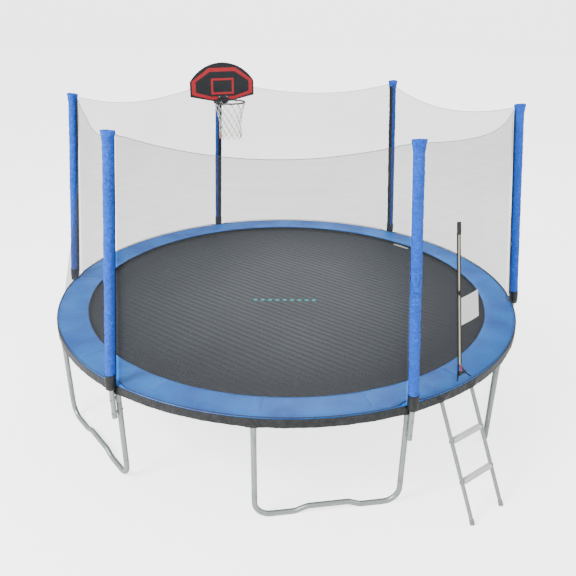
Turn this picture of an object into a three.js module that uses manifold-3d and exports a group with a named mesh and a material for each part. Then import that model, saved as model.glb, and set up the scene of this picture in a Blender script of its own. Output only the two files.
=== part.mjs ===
// A 14 ft backyard trampoline with a safety net enclosure, a clip-on ladder and a basketball hoop.
// Millimetres, +Z up. The origin is on the ground under the middle of the ring, and angles are
// counted anticlockwise from +X as seen from above.
import * as THREE from "three";
import { mergeVertices } from "three/addons/utils/BufferGeometryUtils.js";
import Module from "manifold-3d";

const wasm = await Module();
wasm.setup();

// ---- Driving dimensions ----

// Ring of top rails
const POLE_COUNT = 6;
const RAIL_COUNT = 2 * POLE_COUNT; // one rail over each leg
const FIRST_POLE_DEG = -126;
const RING_RADIUS = 2108; // centre line of the top rail
const RAIL_HEIGHT = 854; // centre line above the ground
const TUBE_RADIUS = 21; // top rails and legs
const TUBE_WALL = 2;
const END_GAP = 0.6; // between two tubes that meet end to end
const SPIGOT_LENGTH = 70; // swaged end that enters the next tube
const SPIGOT_CLEARANCE = 1.8;
const SOCKET_DROP = 110; // the rail's leg socket reaches this far below its centre line

// Legs
const LEG_JOINT_HEIGHT = 200; // where the straight leg tube meets the bent base
const BEND_RADIUS = 120;
const FOOT_RUN = 300; // length of each end of the base that lies on the ground
const RISE_RUN = 90; // horizontal length of the slope up to the raised middle
const MIDDLE_RISE = 35;

// Bed
const MAT_THICKNESS = 4;
const BED_LIFT = 8; // bed above the rail's centre line
const SPRING_COUNT = 72;
const SPRING_RADIUS = 11;
const SPRING_SIDES = 4;
const SPRING_LENGTH = 184; // from the ring of hook loops out
const SPRING_END_GAP = 4; // from the springs to the rail's tube
const EDGE_RING_WIDTH = 6; // ring of hook loops along the mat's edge
const EDGE_RING_GAP = 8;

// Spring cover
const PAD_WIDTH = 268;
const PAD_THICKNESS = 20;
const PAD_CHAMFER = 5;
const PAD_HOOK_GAP = 1; // its underside above the ladder's hooks
const SKIRT_GAP = 3; // outside the rail
const SKIRT_THICKNESS = 4;
const SKIRT_DROP = 73; // below the top of the pad
const NOTCH_MARGIN = 8; // room in the skirt on each side of a ladder rail

// Enclosure poles
const POLE_RADIUS = 19;
const POLE_STANDOFF = 12; // from the leg's tube to the pole's
const POLE_BELOW_RAIL = 234; // lower end
const BEND_ABOVE_RAIL = 76;
const POLE_BEND_RADIUS = 400;
const UPPER_POLE_HEIGHT = 1744; // from the bend to the top, upright
const UPPER_POLE_LEAN = 218; // how far the top leans in
const SPACER_LIFTS = [40, 160]; // welded spacers against the leg, above the pole's lower end
const SPACER_RADIUS = 11;
const SPACER_GAP = 0.6;

// Foam sleeves
const SLEEVE_RADIUS = 38;
const SLEEVE_CLEARANCE = 2;
const SLEEVE_START = 55; // above the bend, along the pole
const SLEEVE_OVERHANG = 16; // past the end of the pole
const FLARE_LENGTH = 90;
const FLARE_SPREAD = 9; // the open end stands out this much
const FLARE_WALL = 7;
const SLEEVE_SIDES = 12;

// Safety net
const NET_THICKNESS = 3;
const NET_FOOT_INSET = 40; // inside the pad's outer edge
const NET_FOOT_LIFT = 7; // above the pad
const NET_TOP_DROP = 14; // below the poles' tops
const NET_SAG = 130;
const NET_END_GAP = 14; // from a panel's end to the middle of its pole
const NET_COLUMNS = 8;
const NET_ROWS = 5;
const DETOUR_SHARE = 0.3694; // how far the top edge runs along the hoop's board before it turns in

// Zip in the entrance panel
const ENTRANCE = 1; // panel number
const ZIP_FOOT_SHARE = 0.22; // across the panel's foot
const ZIP_TOP_SHARE = 0.36; // across the panel's top
const ZIP_SLIDER_SHARE = 0.07; // up the panel
const SLIDER_SIZE = [16, 9, 24];
const PULL_SIZE = [13, 2.4, 46];
const SLIDER_GAP = 6;

// Ladder
const LADDER_DEG = -54;
const LADDER_WIDTH = 330; // between the rails' centre lines
const LADDER_RAIL_RADIUS = 15;
const LADDER_REACH = 437; // its foot stands this far outside the top rail
const HOOK_CLEARANCE = 5;
const HOOK_STRAP = 4;
const HOOK_WIDTH = 26;
const HOOK_FROM_DEG = -75;
const HOOK_TO_DEG = 118;
const HOOK_JOINT = [27, -15]; // where the rail's centre line meets the hook, out and up
const STEP_HEIGHTS = [292, 568];
const STEP_DEPTH = 40;
const STEP_THICKNESS = 26;
const STEP_GAP = 0.6;

// Basketball hoop
const HOOP_POLE = 4;
const BOARD_WIDTH = 740;
const BOARD_HEIGHT = 412;
const BOARD_SIDE_FROM = 58; // the straight side's lower end above the board's foot
const BOARD_SIDE_TO = 215;
const BOARD_FOOT_WIDTH = 170;
const BOARD_THICKNESS = 18;
const BOARD_STANDOFF = 114; // its back inside the pole's top
const BOARD_BELOW_TOP = 229; // its foot below the pole's top
const RIM_RADIUS = 165;
const RIM_TUBE = 8;
const RIM_STANDOFF = 62; // from the board's face to the near side of the rim
const RIM_LIFT = 21; // above the board's foot
const RIM_SIDES = 24;
const RIM_ARM_DEG = 16; // where the arms meet the ring
const HOOP_NET_SIDES = 16;
const RIM_PLATE = [120, 8, 84];
const HOOP_NET_LENGTH = 372;
const HOOP_NET_FOOT = 118;
const HOOP_NET_WALL = 6;
const CLAMP_BELOW_TOP = 118; // middle of the clamp below the pole's end, along the pole
const CLAMP_HEIGHT = 52;
const CLAMP_WALL = 5;
const ARM_THICKNESS = 14;
const FIT_GAP = 0.6; // between pieces that are bolted face to face

// Roundness
const TUBE_SIDES = 8;
const RING_SIDES = 72;
const RAIL_STEPS = 6;

// ---- Sizes that follow ----
const DEG = Math.PI / 180;
const POLE_STEP_DEG = 360 / POLE_COUNT;
const RAIL_STEP_DEG = 360 / RAIL_COUNT;
const SPIGOT_RADIUS = TUBE_RADIUS - TUBE_WALL - SPIGOT_CLEARANCE;
const BORE_RADIUS = TUBE_RADIUS - TUBE_WALL;
const SPRING_END_RADIUS = RING_RADIUS - TUBE_RADIUS - SPRING_END_GAP;
const EDGE_RING_RADIUS = SPRING_END_RADIUS - SPRING_LENGTH; // its outer edge
const MAT_RADIUS = EDGE_RING_RADIUS - EDGE_RING_WIDTH - EDGE_RING_GAP;
const BED_HEIGHT = RAIL_HEIGHT + BED_LIFT;
const HOOK_BORE = TUBE_RADIUS + HOOK_CLEARANCE;
const HOOK_RADIUS = HOOK_BORE + HOOK_STRAP;
const PAD_OUTER_RADIUS = RING_RADIUS + TUBE_RADIUS + SKIRT_GAP + SKIRT_THICKNESS;
const PAD_INNER_RADIUS = PAD_OUTER_RADIUS - PAD_WIDTH;
const PAD_UNDERSIDE = RAIL_HEIGHT + HOOK_RADIUS + PAD_HOOK_GAP;
const PAD_TOP = PAD_UNDERSIDE + PAD_THICKNESS;
const SKIRT_FOOT = PAD_TOP - SKIRT_DROP;
const POLE_CIRCLE = RING_RADIUS + TUBE_RADIUS + POLE_STANDOFF + POLE_RADIUS;
const POLE_TOP_CIRCLE = POLE_CIRCLE - UPPER_POLE_LEAN;
const POLE_FOOT_HEIGHT = RAIL_HEIGHT - POLE_BELOW_RAIL;
const POLE_BEND_HEIGHT = RAIL_HEIGHT + BEND_ABOVE_RAIL;
const POLE_TOP_HEIGHT = POLE_BEND_HEIGHT + UPPER_POLE_HEIGHT;
const SLEEVE_BORE = POLE_RADIUS + SLEEVE_CLEARANCE;
const FLARE_RADIUS = SLEEVE_RADIUS + FLARE_SPREAD;
const NET_FOOT_RADIUS = PAD_OUTER_RADIUS - NET_FOOT_INSET;
const NET_FOOT_HEIGHT = PAD_TOP + NET_FOOT_LIFT;
const NET_TOP_RADIUS = POLE_TOP_CIRCLE - FLARE_RADIUS;
const BOARD_DETOUR = DETOUR_SHARE * NET_TOP_RADIUS;
const NET_TOP_HEIGHT = POLE_TOP_HEIGHT - NET_TOP_DROP;
const LADDER_AXIS_RADIUS = Math.sqrt(RING_RADIUS ** 2 - (LADDER_WIDTH / 2) ** 2);
const LADDER_FOOT_RADIUS = RING_RADIUS + LADDER_REACH;
const BOARD_BACK_RADIUS = POLE_TOP_CIRCLE - BOARD_STANDOFF;
const BOARD_FOOT_HEIGHT = POLE_TOP_HEIGHT - BOARD_BELOW_TOP;
const RIM_HEIGHT = BOARD_FOOT_HEIGHT + RIM_LIFT;
const BOARD_FACE_RADIUS = BOARD_BACK_RADIUS - BOARD_THICKNESS;
const RIM_CENTRE_RADIUS = BOARD_FACE_RADIUS - RIM_STANDOFF - RIM_RADIUS;

// ---- Materials ----
function finish(color, roughness, metalness) {
  return new THREE.MeshStandardMaterial({ color, roughness, metalness });
}
const GALVANISED = finish("#9aa39f", 0.45, 0.85);
const BLUE_SLEEVE = finish("#2f6fc4", 0.6, 0);
const BLUE_PVC = finish("#3f8fe0", 0.45, 0);
const WOVEN_BED = finish("#4b4d50", 0.75, 0);
const NET_MESH = finish("#c9ccce", 0.9, 0);
const SPRING_STEEL = finish("#b8bcbc", 0.35, 0.9);
const WHITE_STEP = finish("#e6e7e4", 0.5, 0);
const BLACK_BOARD = finish("#22282b", 0.55, 0);
const RED_PLASTIC = finish("#b8262b", 0.5, 0);
const BLACK_STEEL = finish("#26292b", 0.5, 0.6);
const WHITE_CORD = finish("#e2e2da", 0.9, 0);

// ---- Shape helpers ----

// A closed geometry as a manifold-3d solid, for cutting and joining.
function solid(geometry) {
  const bare = geometry.index ? geometry.toNonIndexed() : geometry.clone();
  bare.deleteAttribute("normal");
  bare.deleteAttribute("uv");
  const merged = mergeVertices(bare, 1e-3);
  return new wasm.Manifold(
    new wasm.Mesh({
      numProp: 3,
      vertProperties: merged.attributes.position.array,
      triVerts: new Uint32Array(merged.index.array),
    }),
  );
}

function geometryOf(made) {
  const mesh = made.getMesh();
  const geometry = new THREE.BufferGeometry();
  geometry.setAttribute("position", new THREE.BufferAttribute(mesh.vertProperties, 3));
  geometry.setIndex(new THREE.BufferAttribute(mesh.triVerts, 1));
  geometry.computeVertexNormals();
  return geometry;
}

function joined(geometries) {
  return geometries.map(solid).reduce((sum, next) => sum.add(next));
}

function box(x, y, z, width, depth, height) {
  return new THREE.BoxGeometry(width, depth, height).translate(x, y, z);
}

// A straight bar between two points.
function bar(from, to, radius, sides = TUBE_SIDES) {
  const along = new THREE.Vector3().subVectors(to, from);
  const turn = new THREE.Quaternion().setFromUnitVectors(
    new THREE.Vector3(0, 1, 0),
    along.clone().normalize(),
  );
  const middle = new THREE.Vector3().addVectors(from, to).multiplyScalar(0.5);
  return new THREE.CylinderGeometry(radius, radius, along.length(), sides)
    .applyQuaternion(turn)
    .translate(middle.x, middle.y, middle.z);
}

// A profile of [radius, height] pairs, listed anticlockwise, turned about the Z axis.
function turned(profile, sides) {
  const points = profile.map(([radius, height]) => new THREE.Vector2(radius, height));
  return new THREE.LatheGeometry(points, sides).rotateX(Math.PI / 2);
}

function closedLoop(profile) {
  return [...profile, profile[0]];
}

// A route through the given points, one tube section at each of them. The end sections are square
// to the route, or to the directions given in ends.
class Route extends THREE.Curve {
  constructor(points, ends = []) {
    super();
    this.points = points;
    this.ends = ends;
  }
  getPoint(t, target = new THREE.Vector3()) {
    const place = t * (this.points.length - 1);
    const index = Math.min(Math.floor(place), this.points.length - 2);
    return target.lerpVectors(this.points[index], this.points[index + 1], place - index);
  }
  getTangent(t, target = new THREE.Vector3()) {
    const last = this.points.length - 1;
    const index = Math.round(t * last);
    if (index === 0 && this.ends[0]) return target.copy(this.ends[0]);
    if (index === last && this.ends[1]) return target.copy(this.ends[1]);
    const before = this.points[Math.max(index - 1, 0)];
    const here = this.points[index];
    const after = this.points[Math.min(index + 1, last)];
    const arriving = new THREE.Vector3().subVectors(here, before).normalize();
    const leaving = new THREE.Vector3().subVectors(after, here).normalize();
    return target.addVectors(arriving, leaving).normalize();
  }
  getUtoTmapping(u) {
    return u;
  }
}

// The corner points of a route in the XZ plane, with each inner corner rounded to a radius.
function roundedPoints(corners, radii, stepsPerBend = 4) {
  const points = [corners[0]];
  for (let i = 1; i < corners.length - 1; i += 1) {
    const back = new THREE.Vector3().subVectors(corners[i - 1], corners[i]).normalize();
    const ahead = new THREE.Vector3().subVectors(corners[i + 1], corners[i]).normalize();
    const half = back.angleTo(ahead) / 2;
    const radius = radii[i - 1];
    const reach = radius / Math.tan(half);
    const inward = new THREE.Vector3().addVectors(back, ahead).normalize();
    const centre = corners[i].clone().addScaledVector(inward, radius / Math.sin(half));
    const start = corners[i].clone().addScaledVector(back, reach).sub(centre);
    const end = corners[i].clone().addScaledVector(ahead, reach).sub(centre);
    const sweep = start.angleTo(end);
    for (let k = 0; k <= stepsPerBend; k += 1) {
      const share = k / stepsPerBend;
      const a = Math.sin((1 - share) * sweep) / Math.sin(sweep);
      const b = Math.sin(share * sweep) / Math.sin(sweep);
      points.push(centre.clone().addScaledVector(start, a).addScaledVector(end, b));
    }
  }
  points.push(corners[corners.length - 1]);
  return points;
}

// A regular polygon with flats square to its axes, as a tube's section.
function polygon(radius, sides) {
  const shape = new THREE.Shape();
  for (let i = 0; i < sides; i += 1) {
    const angle = ((i + 0.5) / sides) * 2 * Math.PI;
    const x = radius * Math.cos(angle);
    const y = radius * Math.sin(angle);
    if (i === 0) shape.moveTo(x, y);
    else shape.lineTo(x, y);
  }
  return shape;
}

function tubeAlong(points, radius, ends) {
  return new THREE.ExtrudeGeometry(polygon(radius, TUBE_SIDES), {
    steps: points.length - 1,
    extrudePath: new Route(points, ends),
    bevelEnabled: false,
  });
}

function arcPoints(radius, fromDeg, toDeg, steps) {
  return Array.from({ length: steps + 1 }, (_, i) => {
    const angle = (fromDeg + ((toDeg - fromDeg) * i) / steps) * DEG;
    return new THREE.Vector3(radius * Math.cos(angle), radius * Math.sin(angle), 0);
  });
}

function onCircle(radius, angleDeg, height) {
  const angle = angleDeg * DEG;
  return new THREE.Vector3(radius * Math.cos(angle), radius * Math.sin(angle), height);
}

const part = new THREE.Group();

function addPiece(name, geometry, material, parent = part) {
  const mesh = new THREE.Mesh(geometry, material);
  mesh.name = name;
  parent.add(mesh);
  return mesh;
}

// A group turned so that its +X points outwards at the given angle.
function outwardGroup(angleDeg) {
  const group = new THREE.Group();
  group.rotation.z = angleDeg * DEG;
  part.add(group);
  return group;
}

function poleDeg(index) {
  return FIRST_POLE_DEG + index * POLE_STEP_DEG;
}

// ---- Top rails: curved tubes, swaged at one end, each with a welded leg socket ----
function topRail() {
  const halfDeg = RAIL_STEP_DEG / 2;
  const gapDeg = END_GAP / 2 / RING_RADIUS / DEG;
  const arc = arcPoints(RING_RADIUS, -halfDeg + gapDeg, halfDeg - gapDeg, RAIL_STEPS);
  const stepDeg = RAIL_STEP_DEG / RAIL_STEPS;
  const joint = onCircle(RING_RADIUS, halfDeg, 0);
  const nextPoint = onCircle(RING_RADIUS, halfDeg + stepDeg, 0);
  const intoNext = new THREE.Vector3().subVectors(nextPoint, joint).normalize();
  const spigotRoot = joint.clone().addScaledVector(intoNext, -TUBE_WALL * 2);
  const spigotEnd = joint.clone().addScaledVector(intoNext, SPIGOT_LENGTH);
  const pastEnd = spigotEnd.clone().addScaledVector(intoNext, TUBE_WALL);
  const neck = onCircle(RING_RADIUS, halfDeg - stepDeg / 8, 0);
  const socketTop = new THREE.Vector3(RING_RADIUS, 0, 0);
  const socketFoot = new THREE.Vector3(RING_RADIUS, 0, -SOCKET_DROP);
  const drillTop = new THREE.Vector3(RING_RADIUS, 0, -TUBE_RADIUS - TUBE_WALL);
  const drillFoot = new THREE.Vector3(RING_RADIUS, 0, -SOCKET_DROP - TUBE_WALL);
  const bore = [arc[0].clone().addScaledVector(arc[1].clone().sub(arc[0]), -0.02), ...arc];
  bore[bore.length - 1] = neck;
  return geometryOf(
    joined([
      tubeAlong(arc, TUBE_RADIUS, [onCircle(1, 90 - halfDeg, 0), onCircle(1, 90 + halfDeg, 0)]),
      bar(spigotRoot, spigotEnd, SPIGOT_RADIUS),
      bar(socketTop, socketFoot, TUBE_RADIUS),
    ])
      .subtract(solid(tubeAlong(bore, BORE_RADIUS)))
      .subtract(solid(bar(neck, pastEnd, SPIGOT_RADIUS - TUBE_WALL)))
      .subtract(solid(bar(drillTop, drillFoot, BORE_RADIUS))),
  );
}

const railGeometry = topRail();
for (let i = 0; i < RAIL_COUNT; i += 1) {
  const rail = addPiece(`top_rail_${i + 1}`, railGeometry, GALVANISED);
  rail.rotation.z = (FIRST_POLE_DEG + i * RAIL_STEP_DEG) * DEG;
  rail.position.z = RAIL_HEIGHT;
}

// ---- Legs: a straight tube under each socket, and a bent base under each pair ----
const SOCKET_FOOT = RAIL_HEIGHT - SOCKET_DROP;

function legExtension() {
  const shoulder = SOCKET_FOOT - END_GAP;
  return turned(
    closedLoop([
      [TUBE_RADIUS, LEG_JOINT_HEIGHT],
      [TUBE_RADIUS, shoulder],
      [SPIGOT_RADIUS, shoulder],
      [SPIGOT_RADIUS, shoulder + SPIGOT_LENGTH],
      [SPIGOT_RADIUS - TUBE_WALL, shoulder + SPIGOT_LENGTH],
      [SPIGOT_RADIUS - TUBE_WALL, shoulder - TUBE_WALL],
      [BORE_RADIUS, shoulder - TUBE_WALL * 2],
      [BORE_RADIUS, LEG_JOINT_HEIGHT],
    ]),
    TUBE_SIDES,
  );
}

const extensionGeometry = legExtension();
for (let i = 0; i < RAIL_COUNT; i += 1) {
  const angleDeg = FIRST_POLE_DEG + i * RAIL_STEP_DEG;
  const leg = addPiece(`leg_tube_${i + 1}`, extensionGeometry, GALVANISED);
  leg.position.copy(onCircle(RING_RADIUS, angleDeg, 0));
  leg.rotation.z = angleDeg * DEG;
}

const FOOT_SPREAD = 2 * RING_RADIUS * Math.sin((RAIL_STEP_DEG / 2) * DEG);

function legBase() {
  const half = FOOT_SPREAD / 2;
  const low = TUBE_RADIUS * Math.cos(Math.PI / TUBE_SIDES);
  const top = LEG_JOINT_HEIGHT - END_GAP;
  const side = [
    [half, top],
    [half, low],
    [half - FOOT_RUN, low],
    [half - FOOT_RUN - RISE_RUN, low + MIDDLE_RISE],
  ];
  const outline = [
    ...side.map(([x, z]) => new THREE.Vector3(x, 0, z)),
    ...side.reverse().map(([x, z]) => new THREE.Vector3(-x, 0, z)),
  ];
  const radii = [BEND_RADIUS, BEND_RADIUS, BEND_RADIUS, BEND_RADIUS, BEND_RADIUS, BEND_RADIUS];
  const spigots = [half, -half].map((x) =>
    bar(
      new THREE.Vector3(x, 0, top - TUBE_WALL),
      new THREE.Vector3(x, 0, top + SPIGOT_LENGTH),
      SPIGOT_RADIUS,
    ),
  );
  const bends = roundedPoints(outline, radii, 3);
  return geometryOf(joined([tubeAlong(bends, TUBE_RADIUS), ...spigots]));
}

const baseGeometry = legBase();
for (let i = 0; i < POLE_COUNT; i += 1) {
  const group = outwardGroup(poleDeg(i) - RAIL_STEP_DEG / 2);
  const base = addPiece(`leg_base_${i + 1}`, baseGeometry, GALVANISED, group);
  base.rotation.z = Math.PI / 2;
  base.position.x = RING_RADIUS * Math.cos((RAIL_STEP_DEG / 2) * DEG);
}

// ---- Jumping bed: woven mat and the ring of springs that hangs it from the rails ----
const matProfile = [
  [0, BED_HEIGHT - MAT_THICKNESS / 2],
  [MAT_RADIUS, BED_HEIGHT - MAT_THICKNESS / 2],
  [MAT_RADIUS, BED_HEIGHT + MAT_THICKNESS / 2],
  [0, BED_HEIGHT + MAT_THICKNESS / 2],
];
addPiece("mat", turned(matProfile, RING_SIDES), WOVEN_BED).rotation.z = FIRST_POLE_DEG * DEG;

function springSet() {
  const outer = EDGE_RING_RADIUS;
  const inner = outer - EDGE_RING_WIDTH;
  const half = EDGE_RING_WIDTH / 2;
  const ring = turned(
    closedLoop([
      [outer, -half],
      [outer, half],
      [inner, half],
      [inner, -half],
    ]),
    RING_SIDES,
  );
  const stepDeg = 360 / SPRING_COUNT;
  const coils = Array.from({ length: SPRING_COUNT }, (_, i) => {
    const angleDeg = (i + 0.5) * stepDeg;
    const from = onCircle(outer - half, angleDeg, 0);
    const to = onCircle(SPRING_END_RADIUS, angleDeg, 0);
    return bar(from, to, SPRING_RADIUS, SPRING_SIDES);
  });
  return geometryOf(joined([ring, ...coils]));
}
const springs = addPiece("springs", springSet(), SPRING_STEEL);
springs.rotation.z = FIRST_POLE_DEG * DEG;
springs.position.z = BED_HEIGHT;

// ---- Spring cover: a foam ring under PVC, with a skirt that hangs over the rail ----
function springCover() {
  const cover = turned(
    closedLoop([
      [PAD_OUTER_RADIUS, SKIRT_FOOT],
      [PAD_OUTER_RADIUS, PAD_TOP - PAD_CHAMFER],
      [PAD_OUTER_RADIUS - PAD_CHAMFER, PAD_TOP],
      [PAD_INNER_RADIUS + PAD_CHAMFER, PAD_TOP],
      [PAD_INNER_RADIUS, PAD_TOP - PAD_CHAMFER],
      [PAD_INNER_RADIUS, PAD_UNDERSIDE],
      [PAD_OUTER_RADIUS - SKIRT_THICKNESS, PAD_UNDERSIDE],
      [PAD_OUTER_RADIUS - SKIRT_THICKNESS, SKIRT_FOOT],
    ]),
    RING_SIDES,
  ).rotateZ(FIRST_POLE_DEG * DEG);
  const notchWidth = 2 * (LADDER_RAIL_RADIUS + NOTCH_MARGIN);
  const notchHeight = PAD_UNDERSIDE - SKIRT_FOOT + 2 * NOTCH_MARGIN;
  const notchMiddle = PAD_UNDERSIDE - notchHeight / 2;
  const depth = 4 * LADDER_RAIL_RADIUS;
  const notches = [-LADDER_WIDTH / 2, LADDER_WIDTH / 2].map((side) =>
    box(PAD_OUTER_RADIUS, side, notchMiddle, depth, notchWidth, notchHeight).rotateZ(
      LADDER_DEG * DEG,
    ),
  );
  return geometryOf(notches.map(solid).reduce((made, notch) => made.subtract(notch), solid(cover)));
}
addPiece("spring_cover", springCover(), BLUE_PVC);

// ---- Enclosure poles and their foam sleeves ----
const LEAN = Math.atan2(UPPER_POLE_LEAN, UPPER_POLE_HEIGHT);
const UPPER_LENGTH = Math.hypot(UPPER_POLE_LEAN, UPPER_POLE_HEIGHT);

function enclosurePole() {
  const corners = [
    new THREE.Vector3(POLE_CIRCLE, 0, POLE_FOOT_HEIGHT),
    new THREE.Vector3(POLE_CIRCLE, 0, POLE_BEND_HEIGHT),
    new THREE.Vector3(POLE_TOP_CIRCLE, 0, POLE_TOP_HEIGHT),
  ];
  const tube = tubeAlong(roundedPoints(corners, [POLE_BEND_RADIUS]), POLE_RADIUS);
  const legSide = RING_RADIUS + TUBE_RADIUS + SPACER_GAP;
  const spacers = SPACER_LIFTS.map((lift) =>
    bar(
      new THREE.Vector3(POLE_CIRCLE, 0, POLE_FOOT_HEIGHT + lift),
      new THREE.Vector3(legSide, 0, POLE_FOOT_HEIGHT + lift),
      SPACER_RADIUS,
    ),
  );
  return geometryOf(joined([tube, ...spacers]));
}

// The sleeve stands on the bend, turned about its foot to lie along the upper pole.
function foamSleeve() {
  const foot = SLEEVE_START;
  const top = UPPER_LENGTH + SLEEVE_OVERHANG;
  return turned(
    closedLoop([
      [SLEEVE_RADIUS, foot],
      [SLEEVE_RADIUS, top - FLARE_LENGTH],
      [FLARE_RADIUS, top],
      [FLARE_RADIUS - FLARE_WALL, top],
      [SLEEVE_BORE, top - FLARE_LENGTH + FLARE_WALL],
      [SLEEVE_BORE, foot],
    ]),
    SLEEVE_SIDES,
  );
}

const poleGeometry = enclosurePole();
const sleeveGeometry = foamSleeve();
for (let i = 0; i < POLE_COUNT; i += 1) {
  const group = outwardGroup(poleDeg(i));
  addPiece(`pole_${i + 1}`, poleGeometry, GALVANISED, group);
  const sleeve = addPiece(`pole_sleeve_${i + 1}`, sleeveGeometry, BLUE_SLEEVE, group);
  sleeve.position.set(POLE_CIRCLE, 0, POLE_BEND_HEIGHT);
  sleeve.rotation.y = -LEAN;
}

// ---- Safety net: one panel between each two poles, from the pad to a sagging top edge ----

// A point of a panel: across runs from one pole to the next, up from foot to top.
function netPoint(panel, across, up) {
  const startDeg = poleDeg(panel);
  const footEndDeg = NET_END_GAP / NET_FOOT_RADIUS / DEG;
  const footDeg = startDeg + footEndDeg + (POLE_STEP_DEG - 2 * footEndDeg) * across;
  const foot = onCircle(NET_FOOT_RADIUS, footDeg, NET_FOOT_HEIGHT);
  const topEndDeg = NET_END_GAP / NET_TOP_RADIUS / DEG;
  const start = onCircle(NET_TOP_RADIUS, startDeg + topEndDeg, NET_TOP_HEIGHT);
  const end = onCircle(NET_TOP_RADIUS, startDeg + POLE_STEP_DEG - topEndDeg, NET_TOP_HEIGHT);
  const startControl = start.clone().lerp(end, 1 / 3);
  const endControl = end.clone().lerp(start, 1 / 3);
  if (panel === HOOP_POLE) {
    const alongBoard = onCircle(BOARD_DETOUR, startDeg + 90, 0);
    startControl.copy(start).add(alongBoard);
  }
  if (panel === HOOP_POLE - 1) {
    const alongBoard = onCircle(BOARD_DETOUR, startDeg + POLE_STEP_DEG - 90, 0);
    endControl.copy(end).add(alongBoard);
  }
  const edge = new THREE.CubicBezierCurve3(start, startControl, endControl, end);
  const shift = panel === ENTRANCE ? zipShift() : 0;
  const topShare = across + 4 * shift * across * (1 - across);
  const top = edge.getPoint(topShare);
  top.z -= 4 * NET_SAG * across * (1 - across);
  return foot.lerp(top, up);
}

// How much the entrance panel's threads lean, so that the zip runs straight up it.
function zipShift() {
  return (ZIP_TOP_SHARE - ZIP_FOOT_SHARE) / (4 * ZIP_FOOT_SHARE * (1 - ZIP_FOOT_SHARE));
}

// The panel's threads as one closed sheet. Both faces are cut into triangles the same way, so
// that the sheet keeps its thickness where the panel twists.
function netPanel(panel) {
  const places = [];
  const faces = [];
  const perFace = (NET_COLUMNS + 1) * (NET_ROWS + 1);
  [0, NET_THICKNESS].forEach((offset) => {
    for (let row = 0; row <= NET_ROWS; row += 1) {
      for (let column = 0; column <= NET_COLUMNS; column += 1) {
        const point = netPoint(panel, column / NET_COLUMNS, row / NET_ROWS);
        const outward = point.clone().setZ(0).normalize();
        places.push(...point.addScaledVector(outward, offset).toArray());
      }
    }
  });
  const corner = (column, row, face) => face * perFace + row * (NET_COLUMNS + 1) + column;
  const quad = (a, b, c, d) => faces.push(a, b, c, a, c, d);
  for (let row = 0; row < NET_ROWS; row += 1) {
    for (let column = 0; column < NET_COLUMNS; column += 1) {
      const round = (face) => [
        corner(column, row, face),
        corner(column + 1, row, face),
        corner(column + 1, row + 1, face),
        corner(column, row + 1, face),
      ];
      const [a, b, c, d] = round(0);
      faces.push(a, c, b, a, d, c);
      quad(...round(1));
    }
  }
  for (let column = 0; column < NET_COLUMNS; column += 1) {
    const next = column + 1;
    quad(corner(column, 0, 0), corner(next, 0, 0), corner(next, 0, 1), corner(column, 0, 1));
    quad(
      corner(next, NET_ROWS, 0),
      corner(column, NET_ROWS, 0),
      corner(column, NET_ROWS, 1),
      corner(next, NET_ROWS, 1),
    );
  }
  for (let row = 0; row < NET_ROWS; row += 1) {
    const next = row + 1;
    quad(corner(0, next, 0), corner(0, row, 0), corner(0, row, 1), corner(0, next, 1));
    quad(
      corner(NET_COLUMNS, row, 0),
      corner(NET_COLUMNS, next, 0),
      corner(NET_COLUMNS, next, 1),
      corner(NET_COLUMNS, row, 1),
    );
  }
  const geometry = new THREE.BufferGeometry();
  geometry.setAttribute("position", new THREE.Float32BufferAttribute(places, 3));
  geometry.setIndex(faces);
  geometry.computeVertexNormals();
  return geometry;
}

for (let i = 0; i < POLE_COUNT; i += 1) {
  addPiece(`net_panel_${i + 1}`, netPanel(i), NET_MESH);
}

// ---- Zip slider, outside the entrance panel ----
function zipSlider() {
  const along = new THREE.Vector3().subVectors(
    netPoint(ENTRANCE, ZIP_FOOT_SHARE, 1),
    netPoint(ENTRANCE, ZIP_FOOT_SHARE, 0),
  );
  const up = along.normalize();
  const place = netPoint(ENTRANCE, ZIP_FOOT_SHARE, ZIP_SLIDER_SHARE);
  const outward = place.clone().setZ(0).normalize();
  const out = outward.addScaledVector(up, -outward.dot(up)).normalize();
  const right = new THREE.Vector3().crossVectors(out, up);
  const frame = new THREE.Matrix4().makeBasis(right, out, up);
  const [width, depth, height] = SLIDER_SIZE;
  const [pullWidth, pullDepth, pullHeight] = PULL_SIZE;
  const body = box(0, depth / 2, 0, width, depth, height);
  const pull = box(0, depth, -pullHeight / 2 + height / 4, pullWidth, pullDepth, pullHeight);
  const mesh = addPiece("zip_slider", geometryOf(joined([body, pull])), RED_PLASTIC);
  mesh.quaternion.setFromRotationMatrix(frame);
  mesh.position.copy(place).addScaledVector(out, NET_THICKNESS + SLIDER_GAP);
}
zipSlider();

// ---- Ladder: two rails that hook over the top rail, and two treads between them ----
const ladder = outwardGroup(LADDER_DEG);
const LADDER_HEAD = [LADDER_AXIS_RADIUS + HOOK_JOINT[0], RAIL_HEIGHT + HOOK_JOINT[1]];
const LADDER_SLOPE = (LADDER_FOOT_RADIUS - LADDER_HEAD[0]) / LADDER_HEAD[1];

function ladderRadiusAt(height) {
  return LADDER_HEAD[0] + (LADDER_HEAD[1] - height) * LADDER_SLOPE;
}

// A strap bent round the top rail, with a gap so that the ladder can swing on it.
function ladderHook() {
  const from = HOOK_FROM_DEG * DEG;
  const to = HOOK_TO_DEG * DEG;
  const strap = new THREE.Shape();
  strap.absarc(0, 0, HOOK_RADIUS, from, to, false);
  strap.absarc(0, 0, HOOK_BORE, to, from, true);
  return new THREE.ExtrudeGeometry(strap, {
    depth: HOOK_WIDTH,
    bevelEnabled: false,
    curveSegments: 8,
  })
    .translate(0, 0, -HOOK_WIDTH / 2)
    .rotateX(Math.PI / 2)
    .translate(LADDER_AXIS_RADIUS, 0, RAIL_HEIGHT);
}

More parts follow.
